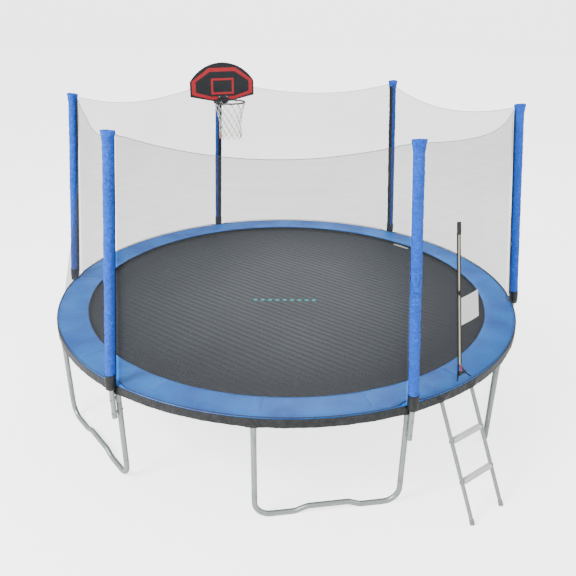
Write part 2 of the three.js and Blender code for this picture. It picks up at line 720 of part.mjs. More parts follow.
function ladderRail() {
  const below = -4 * LADDER_RAIL_RADIUS;
  const tube = bar(
    new THREE.Vector3(LADDER_HEAD[0], 0, LADDER_HEAD[1]),
    new THREE.Vector3(ladderRadiusAt(below), 0, below),
    LADDER_RAIL_RADIUS,
  );
  const ground = box(LADDER_FOOT_RADIUS, 0, 2 * below, -8 * below, -8 * below, -4 * below);
  const hookHole = bar(
    new THREE.Vector3(LADDER_AXIS_RADIUS, -HOOK_WIDTH, RAIL_HEIGHT),
    new THREE.Vector3(LADDER_AXIS_RADIUS, HOOK_WIDTH, RAIL_HEIGHT),
    HOOK_BORE,
    24,
  );
  return geometryOf(joined([tube, ladderHook()]).subtract(solid(ground)).subtract(solid(hookHole)));
}

const ladderRailGeometry = ladderRail();
["left", "right"].forEach((hand, i) => {
  const rail = addPiece(`ladder_rail_${hand}`, ladderRailGeometry, GALVANISED, ladder);
  rail.position.y = (i - 0.5) * LADDER_WIDTH;
});

const STEP_WIDTH = LADDER_WIDTH - 2 * (LADDER_RAIL_RADIUS + STEP_GAP);
STEP_HEIGHTS.forEach((height, i) => {
  const tread = box(0, 0, 0, STEP_DEPTH, STEP_WIDTH, STEP_THICKNESS);
  const step = addPiece(`ladder_step_${i + 1}`, tread, WHITE_STEP, ladder);
  step.position.set(ladderRadiusAt(height), 0, height);
});

// ---- Basketball hoop on one of the poles ----
const hoop = outwardGroup(poleDeg(HOOP_POLE));

// The board's outline as seen from behind: x across, y up from its foot.
function boardShape() {
  const half = BOARD_WIDTH / 2;
  const arch = BOARD_HEIGHT - BOARD_SIDE_TO;
  const radius = (half ** 2 + arch ** 2) / (2 * arch);
  const centre = BOARD_HEIGHT - radius;
  const endAngle = Math.atan2(BOARD_SIDE_TO - centre, half);
  const shape = new THREE.Shape();
  shape.moveTo(-BOARD_FOOT_WIDTH / 2, 0);
  shape.lineTo(BOARD_FOOT_WIDTH / 2, 0);
  shape.lineTo(half, BOARD_SIDE_FROM);
  shape.absarc(0, centre, radius, endAngle, Math.PI - endAngle, false);
  shape.lineTo(-half, BOARD_SIDE_FROM);
  return shape;
}

const boardGeometry = new THREE.ExtrudeGeometry(boardShape(), {
  depth: BOARD_THICKNESS,
  bevelEnabled: false,
  curveSegments: 16,
})
  .rotateX(Math.PI / 2)
  .rotateZ(Math.PI / 2)
  .translate(BOARD_FACE_RADIUS, 0, BOARD_FOOT_HEIGHT);
addPiece("backboard", boardGeometry, BLACK_BOARD, hoop);

// The clamp grips the foam sleeve, and its arm carries the board.
function hoopBracket() {
  const along = UPPER_LENGTH - CLAMP_BELOW_TOP;
  const bore = SLEEVE_RADIUS + FIT_GAP;
  const clamp = turned(
    closedLoop([
      [bore + CLAMP_WALL, -CLAMP_HEIGHT / 2],
      [bore + CLAMP_WALL, CLAMP_HEIGHT / 2],
      [bore, CLAMP_HEIGHT / 2],
      [bore, -CLAMP_HEIGHT / 2],
    ]),
    SLEEVE_SIDES,
  )
    .rotateY(-LEAN)
    .translate(
      POLE_CIRCLE - along * Math.sin(LEAN),
      0,
      POLE_BEND_HEIGHT + along * Math.cos(LEAN),
    );
  const armHeight = POLE_BEND_HEIGHT + along * Math.cos(LEAN);
  const armOuter = POLE_CIRCLE - along * Math.sin(LEAN) - bore - CLAMP_WALL / 2;
  const boardSide = BOARD_BACK_RADIUS + FIT_GAP;
  const armLength = armOuter - boardSide;
  const armMiddle = boardSide + armLength / 2;
  const arm = box(armMiddle, 0, armHeight, armLength, ARM_THICKNESS, CLAMP_HEIGHT * 0.7);
  const plate = box(boardSide + CLAMP_WALL / 2, 0, armHeight, CLAMP_WALL, 120, CLAMP_HEIGHT * 1.4);
  return geometryOf(joined([clamp, arm, plate]));
}
addPiece("hoop_bracket", hoopBracket(), BLACK_STEEL, hoop);

function hoopRim() {
  const ring = new THREE.TorusGeometry(RIM_RADIUS, RIM_TUBE, 6, RIM_SIDES).translate(
    RIM_CENTRE_RADIUS,
    0,
    RIM_HEIGHT,
  );
  const [plateWidth, plateDepth, plateHeight] = RIM_PLATE;
  const plateRadius = BOARD_FACE_RADIUS - FIT_GAP - plateDepth / 2;
  const plateMiddle = BOARD_FOOT_HEIGHT + plateHeight / 2;
  const plate = box(plateRadius, 0, plateMiddle, plateDepth, plateWidth, plateHeight);
  const armAngle = RIM_ARM_DEG * DEG;
  const armEnd = RIM_CENTRE_RADIUS + RIM_RADIUS * Math.cos(armAngle);
  const arms = [-1, 1].map((sign) =>
    bar(
      new THREE.Vector3(plateRadius, sign * 0.4 * plateWidth, RIM_HEIGHT),
      new THREE.Vector3(armEnd, sign * RIM_RADIUS * Math.sin(armAngle), RIM_HEIGHT),
      RIM_TUBE,
    ),
  );
  return geometryOf(joined([ring, plate, ...arms]));
}
addPiece("hoop_rim", hoopRim(), BLACK_STEEL, hoop);

const hoopNetTop = RIM_HEIGHT - RIM_TUBE - FIT_GAP;
const hoopNetTopRadius = RIM_RADIUS - HOOP_NET_WALL / 2;
const hoopNetGeometry = turned(
  closedLoop([
    [HOOP_NET_FOOT, hoopNetTop - HOOP_NET_LENGTH],
    [hoopNetTopRadius, hoopNetTop],
    [hoopNetTopRadius - HOOP_NET_WALL, hoopNetTop],
    [HOOP_NET_FOOT - HOOP_NET_WALL, hoopNetTop - HOOP_NET_LENGTH],
  ]),
  HOOP_NET_SIDES,
);
addPiece("hoop_net", hoopNetGeometry, WHITE_CORD, hoop).position.x = RIM_CENTRE_RADIUS;

export default part;
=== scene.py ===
import math

import bmesh
import bpy
from bpy.props import FloatProperty, FloatVectorProperty, IntProperty, PointerProperty
from mathutils import Matrix, Vector, noise


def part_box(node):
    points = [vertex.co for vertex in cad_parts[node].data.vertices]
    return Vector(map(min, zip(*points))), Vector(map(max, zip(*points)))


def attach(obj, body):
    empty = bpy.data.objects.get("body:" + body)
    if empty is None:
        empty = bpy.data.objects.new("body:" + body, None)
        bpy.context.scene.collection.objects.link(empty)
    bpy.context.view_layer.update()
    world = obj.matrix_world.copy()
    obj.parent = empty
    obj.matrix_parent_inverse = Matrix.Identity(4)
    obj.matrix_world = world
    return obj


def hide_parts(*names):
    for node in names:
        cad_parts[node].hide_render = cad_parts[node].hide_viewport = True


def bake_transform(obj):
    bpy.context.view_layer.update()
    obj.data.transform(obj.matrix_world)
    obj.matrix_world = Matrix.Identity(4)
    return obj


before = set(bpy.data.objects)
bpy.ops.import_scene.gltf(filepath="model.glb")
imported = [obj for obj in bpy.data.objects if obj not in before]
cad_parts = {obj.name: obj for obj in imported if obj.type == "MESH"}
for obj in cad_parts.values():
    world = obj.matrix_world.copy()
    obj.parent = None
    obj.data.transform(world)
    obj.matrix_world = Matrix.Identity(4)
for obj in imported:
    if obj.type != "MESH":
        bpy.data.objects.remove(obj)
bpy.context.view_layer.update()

bl_info = {
    "name": "Backyard Trampoline",
    "version": (1, 0, 0),
    "blender": (4, 5, 0),
    "location": "3D View > Sidebar > Trampoline",
    "description": "Builds a round trampoline with a net, a ladder and a basketball hoop",
    "category": "Add Mesh",
}

POLE_ANGLES = [-126 + 60 * i for i in range(6)]
LEG_ANGLES = [-126 + 30 * i for i in range(12)]
ENTRANCE = 1  # panel with the zip
HOOP_POLE = 4
LADDER_ANGLE = -54
TREAD_HEIGHTS = (0.292, 0.568)
SPACER_HEIGHTS = (0.66, 0.78)  # where a pole is bolted to its leg
ZIP_START, ZIP_END = 0.075, 0.632  # shares of the net's height
EDGE_STEP = 2.5  # degrees between points along the mat's edge
SWEEP_RADIUS, SWEEP_HEIGHT = 60, 24  # the studio's round backdrop
SWEEP_GLOW = 2.8


# ---- Sizes and colours ----

def linear(code):
    """An sRGB hex colour as linear RGBA."""
    values = [int(code[i:i + 2], 16) / 255 for i in (1, 3, 5)]
    return [v / 12.92 if v <= 0.04045 else ((v + 0.055) / 1.055) ** 2.4 for v in values] + [1.0]


def length(name, description, default):
    return FloatProperty(name=name, description=description, default=default, unit="LENGTH")


def colour(name, description, code):
    return FloatVectorProperty(
        name=name, description=description, default=linear(code)[:3], subtype="COLOR",
        size=3, min=0, max=1)


def middle(node, axis):
    low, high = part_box(node)
    return (low[axis] + high[axis]) / 2


class TrampolineFrameSizes(bpy.types.PropertyGroup):
    ring_radius: length("Ring radius", "Centre line of the top rail", 2.108)
    rail_height: length("Rail height", "Centre line of the top rail above the ground", 0.854)
    tube_radius: length("Tube radius", "Top rails and legs", 0.021)
    socket_foot: length("Socket foot", "Lower end of the leg sockets", 0.744)
    leg_joint: length("Leg joint", "Height where leg and base meet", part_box("leg_tube_1")[0].z)
    bend_radius: length("Bend radius", "Bends of the leg bases", 0.12)
    foot_run: length("Foot run", "Part of a base that lies on the ground", 0.3)
    rise_run: length("Rise run", "Length of the slope to the raised middle", 0.09)
    middle_rise: length("Middle rise", "How far the middle of a base is lifted", 0.035)
    pole_radius: length("Pole radius", "Enclosure poles", 0.019)
    pole_circle: length("Pole circle", "Radius on which the poles stand", 2.16)
    pole_foot: length("Pole foot", "Lower end of the poles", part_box("pole_1")[0].z)
    pole_bend: length("Pole bend", "Height where the poles lean in", 0.93)
    pole_bend_radius: length("Pole bend radius", "Radius of that bend", 0.4)
    pole_top_circle: length("Pole top circle", "Radius of the poles' tops", 1.942)
    pole_top: length("Pole top", "Height of the poles' tops", 2.674)
    sleeve_radius: length("Sleeve radius", "Foam sleeves", 0.0365)
    sleeve_bore: length("Sleeve bore", "Bore of the foam sleeves", 0.021)
    sleeve_start: length("Sleeve start", "Sleeve foot above the bend, along the pole", 0.055)
    sleeve_overhang: length("Sleeve overhang", "Sleeve past the pole's end", 0.016)
    flare_radius: length("Flare radius", "Open upper end of a sleeve", 0.047)


class TrampolineBedSizes(bpy.types.PropertyGroup):
    mat_radius: length("Mat radius", "Woven jumping mat", 1.885)
    bed_height: length("Bed height", "Middle of the mat above the ground", middle("mat", 2))
    spring_count: IntProperty(name="Springs", description="Springs round the mat", default=72)
    pad_inner: length("Pad inner radius", "Inner edge of the spring cover", 1.868)
    pad_outer: length("Pad outer radius", "Outer edge of the spring cover",
                      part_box("spring_cover")[1].x)
    pad_underside: length("Pad underside", "Height of the cover's underside", 0.885)
    pad_top: length("Pad top", "Height of the cover's top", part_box("spring_cover")[1].z)
    skirt_foot: length("Skirt foot", "Height of the skirt's hem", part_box("spring_cover")[0].z)


class TrampolineNetSizes(bpy.types.PropertyGroup):
    foot_radius: length("Foot radius", "Lower edge of the net", 2.096)
    foot_height: length("Foot height", "Height of the lower edge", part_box("net_panel_1")[0].z)
    top_radius: length("Top radius", "Upper corners of the net", 1.895)
    top_height: length("Top height", "Height of the upper corners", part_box("net_panel_1")[1].z)
    sag: length("Sag", "Drop of the top edge between two poles", 0.13)
    end_gap: length("End gap", "From a panel's end to the middle of its pole", 0.014)
    board_detour: length("Board detour", "How far the top edge runs along the board", 0.7)
    zip_foot_share: FloatProperty(
        name="Zip foot", description="Place of the zip across the panel's foot", default=0.22)
    zip_top_share: FloatProperty(
        name="Zip top", description="Place of the zip across the panel's top", default=0.36)


class TrampolineHoopSizes(bpy.types.PropertyGroup):
    board_width: length("Board width", "Widest part of the board", 0.74)
    board_height: length("Board height", "Foot to top of the arch", 0.412)
    board_foot: length("Board foot", "Height of the board's lower edge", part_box("backboard")[0].z)
    board_thickness: length("Board thickness", "Moulded board", 0.018)
    face_radius: length("Face radius", "From the middle of the ring to the face", 1.81)
    rim_radius: length("Rim radius", "Centre line of the rim", 0.165)
    rim_tube: length("Rim tube", "Radius of the rim's bar", 0.008)
    rim_centre: length("Rim centre", "From the middle of the ring to the rim's middle", 1.583)
    rim_height: length("Rim height", "Height of the rim", 2.466)
    net_length: length("Net length", "Hoop net from rim to hem", 0.372)
    net_foot: length("Net foot radius", "Hoop net at its hem", 0.118)


class TrampolineLadderSizes(bpy.types.PropertyGroup):
    width: length("Width", "Between the rails' centre lines", 0.33)
    rail_radius: length("Rail radius", "Ladder rails", 0.015)
    head_radius: length("Head radius", "Upper end from the middle of the ring", 2.1285)
    head_height: length("Head height", "Upper end above the ground", 0.839)
    foot_radius: length("Foot radius", "Foot from the middle of the ring", 2.545)
    hinge_radius: length("Hook centre", "Hook's middle from the middle of the ring", 2.10153)
    hook_bore: length("Hook bore", "Inner radius of the hook", 0.026)
    hook_strap: length("Hook strap", "Thickness of the hook's strap", 0.004)
    hook_width: length("Hook width", "Width of the hook's strap", 0.026)
    step_depth: length("Step depth", "Tread from front to back", 0.04)
    step_thickness: length("Step thickness", "Height of a tread's edge", 0.026)


class TrampolineColours(bpy.types.PropertyGroup):
    steel: colour("Galvanised steel", "Rails, legs and poles", "#B2BAB3")
    pad_blue: colour("Pad blue", "PVC of the spring cover", "#0480FF")
    sleeve_blue: colour("Sleeve blue", "Fabric of the pole sleeves", "#0064F0")
    bed: colour("Bed", "Woven mat", "#3C3F42")
    skirt: colour("Skirt", "Skirt under the spring cover", "#151719")
    net: colour("Net", "Safety net threads", "#303336")
    webbing: colour("Webbing", "Straps, hems and zip tapes", "#121316")
    zip_cream: colour("Zip coil", "Coil of the zip", "#D9D2B4")
    red: colour("Red", "Pull tag and the board's bands", "#B3202A")
    board: colour("Board", "Moulded backboard", "#1B2023")
    step: colour("Step", "Painted treads", "#D9DCD8")
    floor: colour("Floor", "Studio floor", "#F4F4F2")


def sizes(group):
    return getattr(bpy.context.scene, "trampoline_" + group)


def tint(name, share=1.0):
    """A colour of the panel as RGBA, darkened or lightened by a share."""
    value = getattr(bpy.context.scene.trampoline_colours, name)
    return [min(1.0, v * share) for v in value] + [1.0]


# ---- Shape helpers ----

def polar(radius, degrees, height=0.0):
    angle = math.radians(degrees)
    return Vector((radius * math.cos(angle), radius * math.sin(angle), height))


def turn_z(degrees):
    return Matrix.Rotation(math.radians(degrees), 4, "Z")


def axes(x, y, z, place=(0, 0, 0)):
    """A matrix with the given columns."""
    return Matrix.Translation(place) @ Matrix((x, y, z)).transposed().to_4x4()


def smoothstep(value, start, end):
    t = min(1.0, max(0.0, (value - start) / (end - start)))
    return t * t * (3 - 2 * t)


def frames_along(points, side=None, closed=False):
    """A frame at each point of a route, its Z along the route, carried on without twist."""
    points = [Vector(p) for p in points]
    frames, before = [], None
    last = len(points) - 1
    for i, place in enumerate(points):
        back = points[i - 1] if i or closed else place
        ahead = points[i + 1] if i < last else points[0] if closed else place
        along = ((place - back).normalized() + (ahead - place).normalized()).normalized()
        if side is None:
            side = along.orthogonal()
        if before is not None:
            side = before.rotation_difference(along) @ side
        side = (side - side.dot(along) * along).normalized()
        frames.append(axes(side, along.cross(side), along, place))
        before = along
    return frames


def rounded(corners, radius, steps=8):
    """The corners of a route, each inner one rounded to the radius."""
    points = [Vector(corners[0])]
    for before, here, after in zip(corners, corners[1:], corners[2:]):
        back = (Vector(before) - Vector(here)).normalized()
        ahead = (Vector(after) - Vector(here)).normalized()
        half = back.angle(ahead) / 2
        centre = Vector(here) + (back + ahead).normalized() * (radius / math.sin(half))
        start = (Vector(here) + back * (radius / math.tan(half)) - centre).normalized()
        end = (Vector(here) + ahead * (radius / math.tan(half)) - centre).normalized()
        points += [centre + start.slerp(end, k / steps) * radius for k in range(steps + 1)]
    points.append(Vector(corners[-1]))
    return points


def sweep(bm, frames, sides=16, radius=1.0, cap=True, closed=False):
    """A circle drawn out through the frames. Their scale shapes the section."""
    ring = bmesh.ops.create_circle(bm, segments=sides, radius=radius, matrix=frames[0])["verts"]
    first = edges = list({e for v in ring for e in v.link_edges})
    made = list(ring)
    for here, there in zip(frames, frames[1:]):
        grown = bmesh.ops.extrude_edge_only(bm, edges=edges)["geom"]
        ring = [g for g in grown if isinstance(g, bmesh.types.BMVert)]
        new = set(ring)
        edges = [g for g in grown if isinstance(g, bmesh.types.BMEdge)
                 and g.verts[0] in new and g.verts[1] in new]
        bmesh.ops.transform(bm, matrix=there @ here.inverted(), verts=ring)
        made += ring
    if closed:
        bmesh.ops.bridge_loops(bm, edges=first + edges)
    elif cap:
        bmesh.ops.holes_fill(bm, edges=first + edges, sides=0)
    return made


def tube(bm, points, radius, sides=16, cap=True, closed=False):
    return sweep(bm, frames_along(points, closed=closed), sides, radius, cap, closed)


def stepped(bm, base, profile, sides=20, cap=True):
    """A turned shape along the base frame's Z, from (place, radius) pairs."""
    frames = [base @ Matrix.Translation((0, 0, z)) @ Matrix.Diagonal((r, r, 1, 1))
              for z, r in profile]
    return sweep(bm, frames, sides, 1.0, cap)


QUARTER = Matrix.Rotation(math.radians(45), 4, "Z")


def strap(bm, frames, width, thickness, cap=True, closed=False):
    """A flat band: width along the frames' X, thickness along their Y."""
    shape = Matrix.Diagonal((width / math.sqrt(2), thickness / math.sqrt(2), 1, 1)) @ QUARTER
    return sweep(bm, [f @ shape for f in frames], 4, 1.0, cap, closed)


def block(bm, base, width, depth, height, bevel=0.0):
    made = bmesh.ops.create_cube(
        bm, size=1.0, matrix=base @ Matrix.Diagonal((width, depth, height, 1)))["verts"]
    if bevel:
        edges = list({e for v in made for e in v.link_edges})
        bmesh.ops.bevel(bm, geom=edges, offset=bevel, affect="EDGES", segments=2,
                        profile=0.5, material=-1)
    return made


def hex_bolt(bm, base, radius, height):
    """A hexagon head on a washer, standing along the base frame's Z."""
    stepped(bm, base, [(0, radius * 1.5), (height * 0.25, radius * 1.5)], 16)
    stepped(bm, base, [(height * 0.25, radius), (height * 0.9, radius),
                       (height, radius * 0.85)], 6)


def slab(bm, outline, thickness, matrix):
    """A flat plate from an outline of (x, y) pairs, its back at -thickness."""
    verts = [bm.verts.new((x, y, 0)) for x, y in outline]
    face = bm.faces.new(verts)
    lifted = bmesh.ops.extrude_face_region(bm, geom=[face])["geom"]
    low = [g for g in lifted if isinstance(g, bmesh.types.BMVert)]
    bmesh.ops.translate(bm, vec=(0, 0, -thickness), verts=low)
    bmesh.ops.recalc_face_normals(bm, faces=list({f for v in verts + low for f in v.link_faces}))
    bmesh.ops.transform(bm, matrix=matrix, verts=verts + low)
    return verts, low


def frame_band(bm, outer, inner, thickness, matrix):
    """A flat band between two outlines with as many corners each."""
    loops = []
    for outline in (outer, inner):
        verts = [bm.verts.new((x, y, 0)) for x, y in outline]
        edges = [bm.edges.new((a, b)) for a, b in zip(verts, verts[1:] + verts[:1])]
        loops.append((verts, edges))
    faces = [bm.faces.new((a, b, c, d)) for a, b, c, d in zip(
        loops[0][0], loops[0][0][1:] + loops[0][0][:1],
        loops[1][0][1:] + loops[1][0][:1], loops[1][0])]
    lifted = bmesh.ops.extrude_face_region(bm, geom=faces)["geom"]
    high = [g for g in lifted if isinstance(g, bmesh.types.BMVert)]
    bmesh.ops.translate(bm, vec=(0, 0, thickness), verts=high)
    every = loops[0][0] + loops[1][0] + high
    bmesh.ops.recalc_face_normals(bm, faces=list({f for v in every for f in v.link_faces}))
    bmesh.ops.transform(bm, matrix=matrix, verts=every)


def piece(name, bm, materials, body="frame", replaces=(), smooth=40, blended=False):
    """Turns a bmesh into a finished object that rides on a body."""
    mesh = bpy.data.meshes.new(name)
    bm.to_mesh(mesh)
    bm.free()
    return placed(name, mesh, materials, body, replaces, smooth, blended)


def placed(name, mesh, materials, body="frame", replaces=(), smooth=40, blended=False):
    if not mesh.polygons:
        raise RuntimeError(name + " came out empty")
    mesh.shade_smooth()
    mesh.set_sharp_from_angle(angle=math.radians(smooth))
    for material in materials:
        mesh.materials.append(material)
    obj = bpy.data.objects.new(name, mesh)
    bpy.context.scene.collection.objects.link(obj)
    if not blended:
        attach(obj, body)
    if replaces:
        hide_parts(*replaces)
    return obj


def mesh_of(bm, name):
    mesh = bpy.data.meshes.new(name)
    bm.to_mesh(mesh)
    bm.free()
    return mesh


def turned_copy(mesh, matrix, name):
    copy = mesh.copy()
    copy.name = name
    copy.transform(matrix)
    return copy


# ---- Materials ----

def add_node(tree, kind, inputs=None, **settings):
    """Adds a node with its settings, its values and its links."""
    node = tree.nodes.new(kind)
    for name, value in settings.items():
        setattr(node, name, value)
    for name, value in (inputs or {}).items():
        if isinstance(value, bpy.types.NodeSocket):
            tree.links.new(value, node.inputs[name])
        else:
            node.inputs[name].default_value = value
    return node


def new_finish(name, **principled):
    """A material with a Principled shader whose constants are set by socket name."""
    material = bpy.data.materials.new(name)
    material.use_nodes = True
    tree = material.node_tree
    shader = tree.nodes["Principled BSDF"]
    for key, value in principled.items():
        shader.inputs[key.replace("_", " ")].default_value = value
    where = add_node(tree, "ShaderNodeTexCoord")
    return material, tree, shader, where.outputs["Object"]


def galvanised_steel():
    # Hot-dip galvanised steel tube: dull zinc with a faint spangle about 12 mm across
    material, tree, shader, at = new_finish(
        "Galvanised steel", Metallic=0.75, Roughness=0.42)
    spangle = add_node(tree, "ShaderNodeTexVoronoi", {"Vector": at, "Scale": 80.0})
    cloud = add_node(tree, "ShaderNodeTexNoise", {"Vector": at, "Scale": 9.0, "Detail": 5.0})
    blend = add_node(tree, "ShaderNodeMix", {0: spangle.outputs["Color"],
                                             6: tint("steel", 0.82), 7: tint("steel", 1.12)},
                     data_type="RGBA")
    wear_and_crest_highlight = add_node(tree, "ShaderNodeMix", {0: cloud.outputs["Fac"], 6: blend.outputs[2],
                                            7: tint("steel", 0.9)}, data_type="RGBA")
    rough = add_node(tree, "ShaderNodeMapRange", {"Value": cloud.outputs["Fac"],
                                                  "To Min": 0.34, "To Max": 0.55})
    bump = add_node(tree, "ShaderNodeBump", {"Height": cloud.outputs["Fac"],
                                             "Strength": 0.08, "Distance": 0.002})
    tree.links.new(wear_and_crest_highlight.outputs[2], shader.inputs["Base Color"])
    tree.links.new(rough.outputs[0], shader.inputs["Roughness"])
    tree.links.new(bump.outputs[0], shader.inputs["Normal"])
    return material


def zinc_steel(name="Zinc-plated steel"):
    # Bright zinc plating on springs, bolts and hooks: whiter and smoother than the tubes
    material, tree, shader, at = new_finish(name, Metallic=0.9)
    cloud = add_node(tree, "ShaderNodeTexNoise", {"Vector": at, "Scale": 60.0, "Detail": 4.0})
    blend = add_node(tree, "ShaderNodeMix", {0: cloud.outputs["Fac"], 6: linear("#9DA2A3"),
                                             7: linear("#CDD1D0")}, data_type="RGBA")
    rough = add_node(tree, "ShaderNodeMapRange", {"Value": cloud.outputs["Fac"],
                                                  "To Min": 0.25, "To Max": 0.42})
    tree.links.new(blend.outputs[2], shader.inputs["Base Color"])
    tree.links.new(rough.outputs[0], shader.inputs["Roughness"])
    return material


def pvc_cover():
    # Calendered PVC over foam: soft gloss, a cloth backing that prints through every 6 mm
    # (the real threads are about 1 mm apart, too fine to show), and shallow wrinkles whose
    # crests carry a painted highlight
    material, tree, shader, at = new_finish("Blue PVC tarpaulin", IOR=1.53, Roughness=0.4)
    broad = add_node(tree, "ShaderNodeTexNoise", {"Vector": at, "Scale": 3.2, "Detail": 3.0})
    crease = add_node(tree, "ShaderNodeTexNoise", {"Vector": at, "Scale": 22.0, "Detail": 6.0,
                                                   "Roughness": 0.6, "Distortion": 0.8})
    threads = add_node(tree, "ShaderNodeTexWave", {"Vector": at, "Scale": 26.0,
                                                   "Distortion": 0.6}, bands_direction="X")
    across = add_node(tree, "ShaderNodeTexWave", {"Vector": at, "Scale": 26.0,
                                                  "Distortion": 0.6}, bands_direction="Y")
    weave = add_node(tree, "ShaderNodeMath", {0: threads.outputs["Fac"],
                                              1: across.outputs["Fac"]}, operation="MULTIPLY")
    steep = add_node(tree, "ShaderNodeMapRange", {"Value": broad.outputs["Fac"],
                                                  "From Min": 0.33, "From Max": 0.67})
    shade = add_node(tree, "ShaderNodeMix", {0: steep.outputs[0], 6: tint("pad_blue", 0.68),
                                             7: tint("pad_blue", 1.35)}, data_type="RGBA")
    # Painted highlight: a paler blue is painted on the crests of the creases
    wear_and_crest_highlight = add_node(tree, "ShaderNodeMapRange", {"Value": crease.outputs["Fac"],
                                                 "From Min": 0.62, "From Max": 0.8,
                                                 "To Min": 0.0, "To Max": 0.35})
    painted_crest_highlight = add_node(tree, "ShaderNodeMix", {0: wear_and_crest_highlight.outputs[0], 6: shade.outputs[2],
                                              7: linear("#6FB0F5")}, data_type="RGBA")
    fine = add_node(tree, "ShaderNodeBump", {"Height": weave.outputs[0], "Strength": 0.12,
                                             "Distance": 0.0008})
    bump = add_node(tree, "ShaderNodeBump", {"Height": crease.outputs["Fac"], "Strength": 0.5,
                                             "Distance": 0.007, "Normal": fine.outputs[0]})
    rough = add_node(tree, "ShaderNodeMapRange", {"Value": crease.outputs["Fac"],
                                                  "To Min": 0.3, "To Max": 0.5})
    tree.links.new(painted_crest_highlight.outputs[2], shader.inputs["Base Color"])
    tree.links.new(rough.outputs[0], shader.inputs["Roughness"])
    tree.links.new(bump.outputs[0], shader.inputs["Normal"])
    return material


def sleeve_fabric():
    # Woven polyethylene sleeve pulled over foam: saturated blue, crumpled every 10 to 25 mm
    # across the pole, with painted shade in the troughs and a painted pale highlight on the crests
    material, tree, shader, at = new_finish(
        "Blue woven polyethylene sleeve", IOR=1.5, Roughness=0.62)
    stretch = add_node(tree, "ShaderNodeMapping", {"Vector": at, "Scale": (1.0, 1.0, 1.7)})
    crumple = add_node(tree, "ShaderNodeTexNoise", {"Vector": stretch.outputs[0],
                                                    "Scale": 42.0, "Detail": 5.0,
                                                    "Roughness": 0.62, "Distortion": 1.4})
    broad = add_node(tree, "ShaderNodeTexNoise", {"Vector": at, "Scale": 7.0, "Detail": 2.0})
    steep = add_node(tree, "ShaderNodeMapRange", {"Value": crumple.outputs["Fac"],
                                                  "From Min": 0.36, "From Max": 0.64})
    # Painted shade and highlight: the crumple's troughs are painted dark blue and its tops light
    # blue
    deep = add_node(tree, "ShaderNodeMix", {0: steep.outputs[0],
                                            6: tint("sleeve_blue", 0.25),
                                            7: tint("sleeve_blue", 1.3)}, data_type="RGBA")
    shade = add_node(tree, "ShaderNodeMix", {0: broad.outputs["Fac"], 6: deep.outputs[2],
                                             7: tint("sleeve_blue", 1.0)}, data_type="RGBA")
    # Painted highlight: pale blue painted on the crests of the crumple
    crest_highlight_mask = add_node(tree, "ShaderNodeMapRange", {"Value": crumple.outputs["Fac"],
                                                  "From Min": 0.56, "From Max": 0.7,
                                                  "To Min": 0.0, "To Max": 0.3})
    painted_crest_highlight = add_node(tree, "ShaderNodeMix", {0: crest_highlight_mask.outputs[0], 6: shade.outputs[2],
                                              7: linear("#4AA8FF")}, data_type="RGBA")
    bump = add_node(tree, "ShaderNodeBump", {"Height": crumple.outputs["Fac"],
                                             "Strength": 1.0, "Distance": 0.016})
    tree.links.new(painted_crest_highlight.outputs[2], shader.inputs["Base Color"])
    tree.links.new(bump.outputs[0], shader.inputs["Normal"])
    return material


def woven_bed():
    # Woven polypropylene, calendered: matt charcoal with long slanting ribs; painted shade darkens
    # it towards the edge and leaves the middle paler, and pale painted sheen streaks lie on the
    # ribs in the middle. Threads are 1.5 mm apart; the ribs drawn are the 60 mm waves they make
    material, tree, shader, at = new_finish("Woven polypropylene mat", IOR=1.49, Roughness=0.58)
    turned = add_node(tree, "ShaderNodeMapping", {"Vector": at,
                                                  "Rotation": (0, 0, math.radians(38))})
    ribs = add_node(tree, "ShaderNodeTexWave", {"Vector": turned.outputs[0], "Scale": 5.0,
                                                "Distortion": 1.1, "Detail": 2.0,
                                                "Detail Scale": 0.5}, bands_direction="Y")
    threads = add_node(tree, "ShaderNodeTexWave", {"Vector": at, "Scale": 38.0,
                                                   "Distortion": 0.4}, bands_direction="X")
    across = add_node(tree, "ShaderNodeTexWave", {"Vector": at, "Scale": 38.0,
                                                  "Distortion": 0.4}, bands_direction="Y")
    weave = add_node(tree, "ShaderNodeMath", {0: threads.outputs["Fac"],
                                              1: across.outputs["Fac"]}, operation="MULTIPLY")
    flat = add_node(tree, "ShaderNodeMapping", {"Vector": at, "Scale": (1.0, 1.0, 0.0)})
    reach = add_node(tree, "ShaderNodeVectorMath", {0: flat.outputs[0]}, operation="LENGTH")
    patch = add_node(tree, "ShaderNodeTexNoise", {"Vector": at, "Scale": 0.9, "Detail": 2.0})
    # Painted shade: the mat is painted darker towards its edge and paler in the middle
    painted_edge_shade = add_node(tree, "ShaderNodeMapRange", {"Value": reach.outputs["Value"],
                                                    "From Min": 0.7, "From Max": 1.7,
                                                    "To Min": 0.8, "To Max": 0.0})
    where = add_node(tree, "ShaderNodeMath", {0: patch.outputs["Fac"], 1: painted_edge_shade.outputs[0]},
                     operation="MULTIPLY")
    # Painted sheen: pale streaks painted along the ribs in the middle
    painted_rib_sheen = add_node(tree, "ShaderNodeMath", {0: ribs.outputs["Fac"], 1: where.outputs[0]},
                     operation="MULTIPLY")
    base = add_node(tree, "ShaderNodeMix", {0: painted_edge_shade.outputs[0], 6: linear("#262B32"),
                                            7: tint("bed", 1.4)}, data_type="RGBA")
    lit = add_node(tree, "ShaderNodeMix", {0: painted_rib_sheen.outputs[0], 6: base.outputs[2],
                                           7: tint("bed", 5.0)}, data_type="RGBA")
    dust = add_node(tree, "ShaderNodeMix", {0: weave.outputs[0], 6: lit.outputs[2],
                                            7: tint("bed", 1.5)}, data_type="RGBA")
    soft = add_node(tree, "ShaderNodeMix", {0: 0.3, 6: lit.outputs[2], 7: dust.outputs[2]},
                    data_type="RGBA")
    fine = add_node(tree, "ShaderNodeBump", {"Height": weave.outputs[0], "Strength": 0.3,
                                             "Distance": 0.001})
    bump = add_node(tree, "ShaderNodeBump", {"Height": ribs.outputs["Fac"], "Strength": 0.3,
                                             "Distance": 0.005, "Normal": fine.outputs[0]})
    tree.links.new(soft.outputs[2], shader.inputs["Base Color"])
    tree.links.new(bump.outputs[0], shader.inputs["Normal"])
    return material


